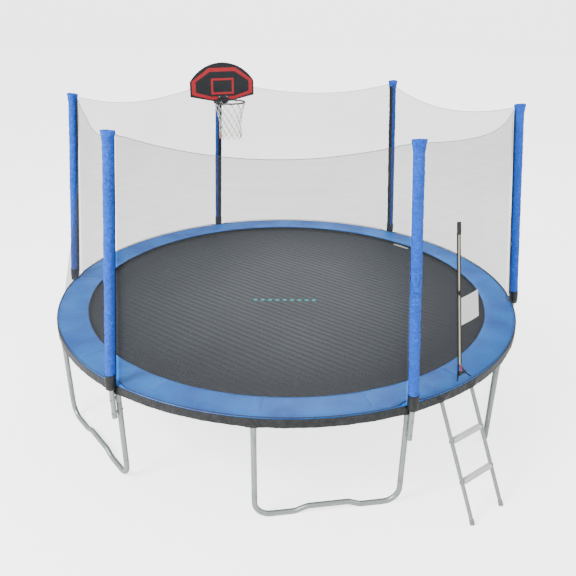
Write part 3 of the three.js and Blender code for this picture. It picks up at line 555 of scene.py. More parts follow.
def skirt_cloth():
    # Glossy black polyethylene sheet with hanging wrinkles: painted highlight on their crests
    # and painted shade in the folds
    material, tree, shader, at = new_finish("Black polyethylene skirt", IOR=1.5, Roughness=0.38)
    stretch = add_node(tree, "ShaderNodeMapping", {"Vector": at, "Scale": (1.0, 1.0, 0.6)})
    crease = add_node(tree, "ShaderNodeTexNoise", {"Vector": stretch.outputs[0], "Scale": 30.0,
                                                   "Detail": 5.0, "Distortion": 1.2})
    steep = add_node(tree, "ShaderNodeMapRange", {"Value": crease.outputs["Fac"],
                                                  "From Min": 0.36, "From Max": 0.68})
    # Painted shade and highlight: darker in the folds, far paler on the crests of the wrinkles
    shade = add_node(tree, "ShaderNodeMix", {0: steep.outputs[0], 6: tint("skirt", 0.4),
                                             7: tint("skirt", 2.6)}, data_type="RGBA")
    bump = add_node(tree, "ShaderNodeBump", {"Height": crease.outputs["Fac"], "Strength": 0.8,
                                             "Distance": 0.008})
    tree.links.new(shade.outputs[2], shader.inputs["Base Color"])
    tree.links.new(bump.outputs[0], shader.inputs["Normal"])
    return material


def webbing(name="Black polypropylene webbing", key="webbing", spacing=0.006):
    # Woven strap: ribs across the band; real ribs are 2 mm, drawn 6 mm so that they show
    material, tree, shader, at = new_finish(name, IOR=1.49, Roughness=0.7, Sheen_Weight=0.1)
    scale = 0.31 / spacing / math.tau * 2
    ribs = add_node(tree, "ShaderNodeTexWave", {"Vector": at, "Scale": scale * 10,
                                                "Distortion": 0.8}, bands_direction="DIAGONAL")
    fuzz = add_node(tree, "ShaderNodeTexNoise", {"Vector": at, "Scale": 120.0, "Detail": 3.0})
    shade = add_node(tree, "ShaderNodeMix", {0: ribs.outputs["Fac"], 6: tint(key, 0.7),
                                             7: tint(key, 1.6)}, data_type="RGBA")
    mixed = add_node(tree, "ShaderNodeMix", {0: fuzz.outputs["Fac"], 6: shade.outputs[2],
                                             7: tint(key, 1.1)}, data_type="RGBA")
    bump = add_node(tree, "ShaderNodeBump", {"Height": ribs.outputs["Fac"], "Strength": 0.5,
                                             "Distance": 0.0008})
    tree.links.new(mixed.outputs[2], shader.inputs["Base Color"])
    tree.links.new(bump.outputs[0], shader.inputs["Normal"])
    return material


def net_mesh(name="Knitted polyethylene net", cover=0.37):
    # Knitted net with 3 mm holes, far too fine to show: drawn as the share of light it stops,
    # a little more along the knitting courses about every 25 mm and where the net is doubled
    material, tree, shader, at = new_finish(name, IOR=1.49, Roughness=0.85)
    uv = add_node(tree, "ShaderNodeUVMap").outputs[0]
    courses = add_node(tree, "ShaderNodeTexNoise",
                       {"Vector": add_node(tree, "ShaderNodeMapping",
                                           {"Vector": uv, "Scale": (1.0, 60.0, 1.0)}).outputs[0],
                        "Scale": 1.0, "Detail": 3.0})
    broad = add_node(tree, "ShaderNodeTexNoise", {"Vector": at, "Scale": 1.3, "Detail": 2.0})
    both = add_node(tree, "ShaderNodeMath", {0: courses.outputs["Fac"], 1: broad.outputs["Fac"]},
                    operation="ADD")
    alpha = add_node(tree, "ShaderNodeMapRange", {"Value": both.outputs[0], "From Min": 0.7,
                                                  "From Max": 1.3, "To Min": cover - 0.03,
                                                  "To Max": cover + 0.03})
    shade = add_node(tree, "ShaderNodeMix", {0: courses.outputs["Fac"], 6: tint("net", 0.8),
                                             7: tint("net", 1.3)}, data_type="RGBA")
    tree.links.new(shade.outputs[2], shader.inputs["Base Color"])
    tree.links.new(alpha.outputs[0], shader.inputs["Alpha"])
    return material


def moulded(name, key=None, code=None, grain=300.0, roughness=0.5):
    # Moulded plastic or paint: even colour with a fine grain and a few paler scuffs
    base = tint(key) if key else linear(code)
    material, tree, shader, at = new_finish(name, IOR=1.5, Roughness=roughness)
    speck = add_node(tree, "ShaderNodeTexNoise", {"Vector": at, "Scale": grain, "Detail": 2.0})
    cloud = add_node(tree, "ShaderNodeTexNoise", {"Vector": at, "Scale": 14.0, "Detail": 5.0})
    scuff = add_node(tree, "ShaderNodeMapRange", {"Value": cloud.outputs["Fac"],
                                                  "From Min": 0.55, "From Max": 0.8,
                                                  "To Min": 0.0, "To Max": 0.35})
    paler = [min(1.0, v * 1.25 + 0.012) for v in base[:3]] + [1.0]
    shade = add_node(tree, "ShaderNodeMix", {0: scuff.outputs[0], 6: base, 7: paler},
                     data_type="RGBA")
    rough = add_node(tree, "ShaderNodeMapRange", {"Value": cloud.outputs["Fac"],
                                                  "To Min": roughness - 0.08,
                                                  "To Max": roughness + 0.1})
    bump = add_node(tree, "ShaderNodeBump", {"Height": speck.outputs["Fac"], "Strength": 0.2,
                                             "Distance": 0.0006})
    tree.links.new(shade.outputs[2], shader.inputs["Base Color"])
    tree.links.new(rough.outputs[0], shader.inputs["Roughness"])
    tree.links.new(bump.outputs[0], shader.inputs["Normal"])
    return material


def twisted_cord(name, code, pale):
    # Twisted nylon cord: fibres lie slantwise, with dirt in the lay
    material, tree, shader, at = new_finish(name, IOR=1.53, Roughness=0.75, Sheen_Weight=0.2)
    lay = add_node(tree, "ShaderNodeTexWave", {"Vector": at, "Scale": 60.0, "Distortion": 1.5},
                   bands_direction="DIAGONAL")
    shade = add_node(tree, "ShaderNodeMix", {0: lay.outputs["Fac"], 6: linear(code),
                                             7: linear(pale)}, data_type="RGBA")
    bump = add_node(tree, "ShaderNodeBump", {"Height": lay.outputs["Fac"], "Strength": 0.5,
                                             "Distance": 0.001})
    tree.links.new(shade.outputs[2], shader.inputs["Base Color"])
    tree.links.new(bump.outputs[0], shader.inputs["Normal"])
    return material


def studio_floor():
    # White sweep paper lit from behind: only the eye sees its glow, so it lights nothing
    material, tree, shader, at = new_finish("White sweep paper", Roughness=0.9)
    shader.inputs["Emission Color"].default_value = linear("#FFFFFF")
    cloud = add_node(tree, "ShaderNodeTexNoise", {"Vector": at, "Scale": 1.5, "Detail": 4.0})
    shade = add_node(tree, "ShaderNodeMix", {0: cloud.outputs["Fac"], 6: tint("floor", 0.99),
                                             7: tint("floor", 1.01)}, data_type="RGBA")
    seen = add_node(tree, "ShaderNodeLightPath").outputs["Is Camera Ray"]
    glow = add_node(tree, "ShaderNodeMath", {0: seen, 1: SWEEP_GLOW}, operation="MULTIPLY")
    tree.links.new(shade.outputs[2], shader.inputs["Base Color"])
    tree.links.new(glow.outputs[0], shader.inputs["Emission Strength"])
    return material


MADE = {}


def finish(maker, *values, **settings):
    """Makes a material once and hands out the same one afterwards."""
    key = (maker.__name__, values, tuple(sorted(settings.items())))
    if key not in MADE:
        MADE[key] = maker(*values, **settings)
    return MADE[key]


# ---- Places that several pieces share ----

def pole_lean():
    s = sizes("frame")
    return math.atan2(s.pole_circle - s.pole_top_circle, s.pole_top - s.pole_bend)


def pole_frame(index, along=0.0):
    """A frame on the upper pole's centre line: X outwards across it, Z up along it."""
    s = sizes("frame")
    return (turn_z(POLE_ANGLES[index]) @ Matrix.Translation((s.pole_circle, 0, s.pole_bend))
            @ Matrix.Rotation(-pole_lean(), 4, "Y") @ Matrix.Translation((0, 0, along)))


def upper_length():
    s = sizes("frame")
    return math.hypot(s.pole_circle - s.pole_top_circle, s.pole_top - s.pole_bend)


def bezier(points, t):
    a, b, c, d = points
    u = 1 - t
    return a * u ** 3 + b * 3 * u * u * t + c * 3 * u * t * t + d * t ** 3


def net_point(panel, across, up):
    """A point of the safety net: across from pole to pole, up from foot to top edge."""
    s = sizes("net")
    start_angle = POLE_ANGLES[panel]
    gap = math.degrees(s.end_gap / s.foot_radius)
    foot = polar(s.foot_radius, start_angle + gap + (60 - 2 * gap) * across, s.foot_height)
    gap = math.degrees(s.end_gap / s.top_radius)
    start = polar(s.top_radius, start_angle + gap, s.top_height)
    end = polar(s.top_radius, start_angle + 60 - gap, s.top_height)
    near, far = start.lerp(end, 1 / 3), end.lerp(start, 1 / 3)
    if panel == HOOP_POLE:
        near = start + polar(s.board_detour, start_angle + 90)
    if panel == HOOP_POLE - 1:
        far = end + polar(s.board_detour, start_angle - 30)
    share = across
    if panel == ENTRANCE:
        shift = (s.zip_top_share - s.zip_foot_share) / (
            4 * s.zip_foot_share * (1 - s.zip_foot_share))
        share += 4 * shift * across * (1 - across)
    top = bezier((start, near, far, end), share)
    top.z -= 4 * s.sag * across * (1 - across)
    return foot.lerp(top, up)


def zip_frame(up, aside=0.0, out=0.0):
    """A frame on the zip's line: X along the net, Y outwards, Z up the zip."""
    share = sizes("net").zip_foot_share
    foot, top = net_point(ENTRANCE, share, 0), net_point(ENTRANCE, share, 1)
    along = (top - foot).normalized()
    place = foot.lerp(top, up)
    outward = Vector((place.x, place.y, 0)).normalized()
    outward = (outward - outward.dot(along) * along).normalized()
    side = outward.cross(along)
    return axes(side, outward, along, place + side * aside + outward * out)


def ladder_place(side, height, out=0.0):
    s = sizes("ladder")
    slope = (s.foot_radius - s.head_radius) / s.head_height
    radius = s.head_radius + (s.head_height - height) * slope + out
    return turn_z(LADDER_ANGLE) @ Vector((radius, side, height))


# ---- Pieces ----

class TRAMPOLINE_OT_stage(bpy.types.Operator):
    """Lay the studio floor and set the camera and the lights"""
    bl_idname = "trampoline.stage"
    bl_label = "Stage"

    def execute(self, context):
        scene = bpy.context.scene
        bm = bmesh.new()
        bmesh.ops.create_circle(bm, cap_ends=True, segments=64, radius=SWEEP_RADIUS)
        bmesh.ops.create_cone(bm, cap_ends=False, segments=64, radius1=SWEEP_RADIUS,
                              radius2=SWEEP_RADIUS, depth=SWEEP_HEIGHT,
                              matrix=Matrix.Translation((0, 0, SWEEP_HEIGHT / 2)))
        mesh = mesh_of(bm, "studio_floor")
        mesh.materials.append(finish(studio_floor))
        floor = bpy.data.objects.new("studio_floor", mesh)
        scene.collection.objects.link(floor)
        camera = bpy.data.objects.new("camera", bpy.data.cameras.new("camera"))
        camera.data.lens = 38.551
        camera.data.sensor_width = 36
        camera.data.clip_end = 500
        camera.location = (0, -5.5233, 3.398)
        camera.rotation_euler = [math.radians(a) for a in (65.651, -0.509, 0.119)]
        scene.collection.objects.link(camera)
        scene.camera = camera
        world = bpy.data.worlds.new("studio")
        world.use_nodes = True
        sky = world.node_tree.nodes["Background"]
        sky.inputs["Color"].default_value = linear("#FAFBFF")
        sky.inputs["Strength"].default_value = 1.0
        scene.world = world
        for name, place, size, power in (
                ("key", (-6.5, -6.0, 8.0), 3.0, 1500), ("fill", (7.5, -3.0, 6.0), 5.0, 260),
                ("back", (1.0, 8.0, 7.0), 5.0, 260)):
            light = bpy.data.lights.new(name, "AREA")
            light.size = size
            light.energy = power
            lamp = bpy.data.objects.new(name, light)
            lamp.location = place
            lamp.rotation_euler = (Vector((0, 0, 0.8)) - Vector(place)).to_track_quat(
                "-Z", "Y").to_euler()
            scene.collection.objects.link(lamp)
        return {"FINISHED"}


class TRAMPOLINE_OT_top_rails(bpy.types.Operator):
    """Make the twelve curved top rails with their welded leg sockets"""
    bl_idname = "trampoline.top_rails"
    bl_label = "Top rails"

    def execute(self, context):
        s = sizes("frame")
        bm = bmesh.new()
        half = 15 - math.degrees(0.0003 / s.ring_radius)
        arc = [polar(s.ring_radius, -half + 2 * half * i / 28, s.rail_height) for i in range(29)]
        tube(bm, arc, s.tube_radius, 20)
        for end in (-half + 0.12, half - 0.12):
            ring = frames_along([polar(s.ring_radius, end + d, s.rail_height)
                                 for d in (-0.05, 0.05)])
            sweep(bm, ring, 20, s.tube_radius + 0.0007)
        socket = s.tube_radius + 0.0012
        drop = s.rail_height - s.socket_foot
        down = Matrix.Translation((s.ring_radius, 0, s.rail_height)) @ Matrix.Rotation(
            math.pi, 4, "X")
        stepped(bm, down, [(0.004, socket), (drop - 0.002, socket), (drop, socket - 0.001)], 20)
        weld = []
        for i in range(24):
            t = math.tau * i / 24
            x, y = socket * math.cos(t), socket * math.sin(t)
            z = -math.sqrt(max(s.tube_radius ** 2 - x * x, 0.0))
            weld.append((s.ring_radius + x, y, s.rail_height + z))
        tube(bm, weld, 0.0032, 6, closed=True)
        for degrees in (-14.2, 14.2):
            place = polar(s.ring_radius, degrees, s.rail_height - s.tube_radius)
            hex_bolt(bm, Matrix.Translation(place) @ Matrix.Rotation(math.pi, 4, "X"),
                     0.005, 0.005)
        side = Matrix.Translation((s.ring_radius - socket, 0, s.socket_foot + 0.035))
        hex_bolt(bm, side @ Matrix.Rotation(-math.pi / 2, 4, "Y"), 0.005, 0.005)
        rail = mesh_of(bm, "top_rail")
        for i, angle in enumerate(LEG_ANGLES):
            name = f"rail_{i + 1:02d}"
            placed(name, turned_copy(rail, turn_z(angle), name), [finish(galvanised_steel)],
                   replaces=[f"top_rail_{i + 1}"])
        return {"FINISHED"}


class TRAMPOLINE_OT_leg_tubes(bpy.types.Operator):
    """Make the straight leg tubes under the sockets"""
    bl_idname = "trampoline.leg_tubes"
    bl_label = "Leg tubes"

    def execute(self, context):
        s = sizes("frame")
        bm = bmesh.new()
        r, low, top = s.tube_radius, s.leg_joint, s.socket_foot - 0.0006
        base = Matrix.Translation((s.ring_radius, 0, 0))
        stepped(bm, base, [(low, r - 0.0008), (low + 0.001, r), (low + 0.08, r),
                           (low + 0.3, r), (top - 0.001, r), (top, r - 0.0008)], 20)
        snap = Matrix.Translation((s.ring_radius + r - 0.001, 0, low + 0.035))
        stepped(bm, snap @ Matrix.Rotation(math.pi / 2, 4, "Y"),
                [(0, 0.0042), (0.0025, 0.004), (0.004, 0.0022)], 12)
        leg = mesh_of(bm, "leg_tube")
        for i, angle in enumerate(LEG_ANGLES):
            name = f"leg_{i + 1:02d}"
            placed(name, turned_copy(leg, turn_z(angle), name), [finish(galvanised_steel)],
                   replaces=[f"leg_tube_{i + 1}"])
        return {"FINISHED"}


class TRAMPOLINE_OT_leg_bases(bpy.types.Operator):
    """Make the bent bases that join the legs in pairs"""
    bl_idname = "trampoline.leg_bases"
    bl_label = "Leg bases"

    def execute(self, context):
        s = sizes("frame")
        half = s.ring_radius * math.sin(math.radians(15))
        across = s.ring_radius * math.cos(math.radians(15))
        r, top = s.tube_radius, s.leg_joint - 0.0006
        side = [(half, top), (half, r), (half - s.foot_run, r),
                (half - s.foot_run - s.rise_run, r + s.middle_rise)]
        outline = [(across, y, z) for y, z in side] + [(across, -y, z) for y, z in side[::-1]]
        bm = bmesh.new()
        tube(bm, rounded(outline, s.bend_radius, 10), r, 20)
        for y in (-half, half):
            collar = Matrix.Translation((across, y, 0))
            stepped(bm, collar, [(top - 0.012, r + 0.0006), (top - 0.001, r + 0.0006),
                                 (top, r - 0.0002)], 20)
        base = mesh_of(bm, "leg_base")
        for i, angle in enumerate(POLE_ANGLES):
            name = f"base_{i + 1}"
            placed(name, turned_copy(base, turn_z(angle - 15), name),
                   [finish(galvanised_steel)],
                   replaces=[f"leg_base_{i + 1}"])
        return {"FINISHED"}


class TRAMPOLINE_OT_springs(bpy.types.Operator):
    """Wind the coil springs and hook them between mat and rails"""
    bl_idname = "trampoline.springs"
    bl_label = "Springs"

    def execute(self, context):
        s, f = sizes("bed"), sizes("frame")
        inner, outer = s.mat_radius + 0.009, f.ring_radius - f.tube_radius - 0.003
        start, end, coil, turns = inner + 0.028, outer - 0.024, 0.0088, 12
        route = [(inner, 0, -0.004), (inner + 0.001, 0, 0.003), (inner + 0.007, 0, 0.004),
                 (start - 0.006, 0, 0.0)]
        steps = turns * 9
        for i in range(steps + 1):
            t = math.tau * i / 9
            x = start + (end - start) * i / steps
            route.append((x, coil * math.sin(t), coil * math.cos(t)))
        route += [(end + 0.005, 0, 0.002), (outer - 0.008, 0, 0.001), (outer - 0.001, 0, -0.001),
                  (outer + 0.001, 0, -0.008)]
        bm = bmesh.new()
        tube(bm, route, 0.0016, 5)
        tab = [(s.mat_radius - 0.004, 0.012, 0), (s.mat_radius - 0.004, -0.012, 0),
               (inner + 0.001, 0, 0)]
        tube(bm, rounded(tab + tab[:1], 0.003, 2), 0.0014, 5)
        spring = mesh_of(bm, "spring")
        bm = bmesh.new()
        for i in range(s.spring_count):
            angle = -126 + (i + 0.5) * 360 / s.spring_count
            one = turned_copy(spring, Matrix.Translation((0, 0, s.bed_height)) @ turn_z(angle),
                              "spring_copy")
            bm.from_mesh(one)
            bpy.data.meshes.remove(one)
        obj = piece("coil_springs", bm, [finish(zinc_steel)],
                    replaces=["springs"], smooth=60, blended=True)
        give_with_bed(obj)
        return {"FINISHED"}


def give_with_bed(obj):
    """Bakes the piece's placement into its mesh."""
    f = sizes("frame")
    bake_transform(obj)


class TRAMPOLINE_OT_mat(bpy.types.Operator):
    """Weave the jumping mat with its hem, labels and centre mark"""
    bl_idname = "trampoline.mat"
    bl_label = "Mat"

    def execute(self, context):
        s = sizes("bed")
        r, thin = s.mat_radius, 0.0011
        bm = bmesh.new()
        rings = [r * i / 30 for i in range(31)]
        profile = [(x, thin) for x in rings] + [(x, -thin) for x in rings[::-1]]
        verts = [bm.verts.new((x, 0, s.bed_height + z)) for x, z in profile]
        edges = [bm.edges.new(pair) for pair in zip(verts, verts[1:])]
        bmesh.ops.spin(bm, geom=verts + edges, cent=(0, 0, 0), axis=(0, 0, 1),
                       angle=math.tau, steps=144, use_merge=True)
        bmesh.ops.remove_doubles(bm, verts=bm.verts, dist=1e-5)
        bmesh.ops.recalc_face_normals(bm, faces=bm.faces)
        mat = piece("jumping_mat", bm, [finish(woven_bed)],
                    replaces=["mat"], blended=True)
        give_with_bed(mat)
        bm = bmesh.new()
        count = round(360 / EDGE_STEP)
        for height in (s.bed_height + thin + 0.0012, s.bed_height - thin - 0.0012):
            band = frames_along([polar(r - 0.028, EDGE_STEP * i, height) for i in range(count)],
                                side=Vector((1, 0, 0)), closed=True)
            strap(bm, band, 0.05, 0.0016, closed=True)
        for inset in (0.008, 0.044):
            for i in range(count):
                seam = [polar(r - inset, EDGE_STEP * i + d, s.bed_height + thin + 0.0022)
                        for d in (0.35, 1.9)]
                tube(bm, seam, 0.0009, 4)
        hem = piece("mat_hem", bm, [finish(webbing)], blended=True)
        give_with_bed(hem)
        bm = bmesh.new()
        block(bm, turn_z(44) @ Matrix.Translation((1.862, 0, s.bed_height + 0.0042)),
              0.045, 0.2, 0.0012, 0.0004)
        labels = piece("mat_labels", bm,
                       [finish(moulded, "White vinyl label", code="#EFEFEC", roughness=0.55)],
                       blended=True)
        give_with_bed(labels)
        bm = bmesh.new()
        for i in range(9):
            x = -0.3 + 0.07 * i
            dot = Matrix.Translation((x, -0.2, s.bed_height + 0.0012))
            stepped(bm, dot, [(0, 0.02), (0.0008, 0.02)], 20)
        mark = piece("mat_mark", bm,
                     [finish(moulded, "Teal screen print", code="#3CCBC6", roughness=0.7)],
                     blended=True)
        give_with_bed(mark)
        return {"FINISHED"}


SEAMS = [-95.5 + 22.5 * i for i in range(16)]


def seam_depth(angle, width=0.35):
    """How deep the cover is drawn in at an angle, 1 on a seam."""
    depth = 0.0
    for i, seam in enumerate(SEAMS):
        away = abs((angle - seam + 180) % 360 - 180)
        depth = max(depth, (1.0 if i % 2 == 0 else 0.6) * math.exp(-(away / width) ** 2))
    return depth


class TRAMPOLINE_OT_spring_cover(bpy.types.Operator):
    """Upholster the spring cover and hang its skirt"""
    bl_idname = "trampoline.spring_cover"
    bl_label = "Spring cover"

    def execute(self, context):
        s, ladder = sizes("bed"), sizes("ladder")
        inner, outer = s.pad_inner, s.pad_outer
        low, top = s.pad_underside, s.pad_top
        profile = [(inner + 0.012, low), (inner + 0.003, low + 0.002), (inner, low + 0.007),
                   (inner + 0.004, low + 0.013), (inner + 0.018, top - 0.003)]
        spread = [inner + 0.018 + (outer - inner - 0.034) * i / 12 for i in range(1, 12)]
        profile += [(x, top + 0.004 * math.sin(math.pi * (x - inner) / (outer - inner)))
                    for x in spread]
        profile += [(outer - 0.014, top - 0.003), (outer - 0.004, top - 0.008),
                    (outer - 0.001, top - 0.015), (outer - 0.003, low + 0.001),
                    (outer - 0.012, low), ((inner + outer) / 2, low)]
        bm = bmesh.new()
        verts = [bm.verts.new((x, 0, z)) for x, z in profile]
        edges = [bm.edges.new(pair) for pair in zip(verts, verts[1:] + verts[:1])]
        bmesh.ops.spin(bm, geom=verts + edges, cent=(0, 0, 0), axis=(0, 0, 1),
                       angle=math.tau, steps=720, use_merge=True)
        bmesh.ops.remove_doubles(bm, verts=bm.verts, dist=1e-5)
        bmesh.ops.recalc_face_normals(bm, faces=bm.faces)
        for v in bm.verts:
            angle = math.degrees(math.atan2(v.co.y, v.co.x))
            radius = v.co.xy.length
            across = (radius - inner) / (outer - inner)
            lifted = smoothstep(v.co.z, low + 0.004, top - 0.004)
            wave = noise.noise(v.co * 5.5) + 0.5 * noise.noise(v.co * 17)
            pucker = seam_depth(angle, 1.6) * noise.noise(
                Vector((angle * 1.1, radius * 5, 3.7)))
            edge = math.sin(math.pi * min(1.0, max(0.0, across)))
            v.co.z += lifted * (0.0028 * wave + 0.004 * pucker - 0.009 * seam_depth(angle)
                                * (0.35 + 0.65 * edge))
            drawn = 0.004 * noise.noise(Vector((angle * 0.13, 1.0, 0.0)))
            if across < 0.12:
                scale = 1 + (drawn - 0.003 * seam_depth(angle, 0.6)) / radius
                v.co.x *= scale
                v.co.y *= scale
        pad = piece("cover_pad", bm, [finish(pvc_cover)],
                    replaces=["spring_cover"], smooth=60)
        bm = bmesh.new()
        for i, seam in enumerate(SEAMS):
            for x in [inner + 0.014 + 0.0125 * k for k in range(20)]:
                across = (x - inner) / (outer - inner)
                z = top + 0.004 * math.sin(math.pi * across) - 0.004
                here = [polar(x, seam + 0.12, z), polar(x + 0.0075, seam + 0.12, z)]
                tube(bm, here, 0.0011, 4)
        thread = finish(moulded, "Pale polyester thread", code="#9CC4F0", roughness=0.6)
        piece("cover_stitches", bm, [thread])
        piping = bmesh.new()
        for radius, z, thick in ((inner + 0.0005, low + 0.007, 0.0028),
                                 (outer - 0.0005, top - 0.0055, 0.0028)):
            tube(piping, [polar(radius + 0.004 * noise.noise(
                Vector((a * 0.13, 1.0, 0.0))) * (1 if radius < 2 else 0), a, z)
                for a in range(360)], thick, 6, closed=True)
        # Painted shade: a black band hangs from the cover's inner edge down to the mat, a dark
        # sheet in the gap where shade falls under the cover
        band = frames_along([polar(inner + 0.006, a, (low + s.bed_height) / 2 + 0.002)
                             for a in range(360)], side=Vector((0, 0, 1)), closed=True)
        strap(piping, band, low - s.bed_height, 0.002, closed=True)
        piece("cover_piping", piping, [finish(webbing)])
        bm = bmesh.new()
        drops = 10
        count = 900
        head, drop = top - 0.006, top - 0.006 - s.skirt_foot
        line = [bm.verts.new((outer + 0.001, 0, head - drop * i / drops))
                for i in range(drops + 1)]
        edges = [bm.edges.new(pair) for pair in zip(line, line[1:])]
        bmesh.ops.spin(bm, geom=line + edges, cent=(0, 0, 0), axis=(0, 0, 1),
                       angle=math.tau, steps=count, use_merge=True)
        bmesh.ops.remove_doubles(bm, verts=bm.verts, dist=1e-5)
        notch = ladder.width / 2
        for v in bm.verts:
            angle = math.degrees(math.atan2(v.co.y, v.co.x))
            down = (head - v.co.z) / drop
            away = min(abs((angle - leg + 180) % 360 - 180) for leg in LEG_ANGLES)
            dip = math.exp(-(away / 1.5) ** 2)
            spot = turn_z(-LADDER_ANGLE) @ v.co
            beside = min(abs(spot.y - notch), abs(spot.y + notch)) if spot.x > 0 else 1
            over = math.exp(-(beside / 0.045) ** 2)
            wave = noise.noise(Vector((angle * 0.9, v.co.z * 9, 0.5)))
            fine = noise.noise(Vector((angle * 3.1, v.co.z * 30, 4.5)))
            bulge = 0.5 + 0.5 * math.sin(math.pi * down)
            fold = noise.noise(Vector((angle * 6.5, v.co.z * 12, 8.5)))
            out = down * (0.0045 * wave + 0.0026 * fine + 0.0028 * fold) + 0.006 * bulge * down
            out = max(out, 0.024 * over * smoothstep(down, 0.0, 0.4))
            v.co.z += down * (0.007 * wave + 0.003 * fold - 0.010 * dip + 0.022 * over)
            scale = 1 + max(out, 0.0) / v.co.xy.length
            v.co.x *= scale
            v.co.y *= scale
        skirt = piece("cover_skirt", bm, [finish(skirt_cloth)], smooth=60)
        return {"FINISHED"}


class TRAMPOLINE_OT_poles(bpy.types.Operator):
    """Bend the enclosure poles and bolt them to the legs"""
    bl_idname = "trampoline.poles"
    bl_label = "Poles"

    def execute(self, context):
        s = sizes("frame")
        corners = [(s.pole_circle, 0, s.pole_foot), (s.pole_circle, 0, s.pole_bend),
                   (s.pole_top_circle, 0, s.pole_top)]
        bm = bmesh.new()
        tube(bm, rounded(corners, s.pole_bend_radius, 8), s.pole_radius, 20)
        foot = Matrix.Translation((s.pole_circle, 0, s.pole_foot))
        stepped(bm, foot, [(0.0, s.pole_radius + 0.001), (0.014, s.pole_radius + 0.001),
                           (0.016, s.pole_radius)], 20)
        leg_side = s.ring_radius + s.tube_radius + 0.0006
        for height in SPACER_HEIGHTS:
            spacer = Matrix.Translation((leg_side, 0, height)) @ Matrix.Rotation(
                math.pi / 2, 4, "Y")
            stepped(bm, spacer, [(0, 0.0095), (0.001, 0.011),
                                 (s.pole_circle - leg_side, 0.011)], 16)
            head = Matrix.Translation((s.pole_circle + s.pole_radius - 0.001, 0, height))
            hex_bolt(bm, head @ Matrix.Rotation(math.pi / 2, 4, "Y"), 0.0075, 0.007)
        pole = mesh_of(bm, "pole")
        bm = bmesh.new()
        for height in SPACER_HEIGHTS:
            nut = Matrix.Translation((s.ring_radius - s.tube_radius, 0, height))
            hex_bolt(bm, nut @ Matrix.Rotation(-math.pi / 2, 4, "Y"), 0.0075, 0.008)
        nuts = mesh_of(bm, "pole_nuts")
        cap = bmesh.new()
        stepped(cap, Matrix.Identity(4), [(0, s.pole_radius), (0.004, s.pole_radius),
                                          (0.008, s.pole_radius * 0.8),
                                          (0.0095, s.pole_radius * 0.4)], 20)
        caps = mesh_of(cap, "pole_cap")
        for i, angle in enumerate(POLE_ANGLES):
            name = f"enclosure_pole_{i + 1}"
            placed(name, turned_copy(pole, turn_z(angle), name), [finish(galvanised_steel)],
                   replaces=[f"pole_{i + 1}"])
            name = f"pole_nuts_{i + 1}"
            placed(name, turned_copy(nuts, turn_z(angle), name), [finish(zinc_steel)])
            name = f"pole_cap_{i + 1}"
            placed(name, turned_copy(caps, pole_frame(i, upper_length()), name),
                   [finish(moulded, "Black polypropylene plug", code="#16181A")])
        return {"FINISHED"}


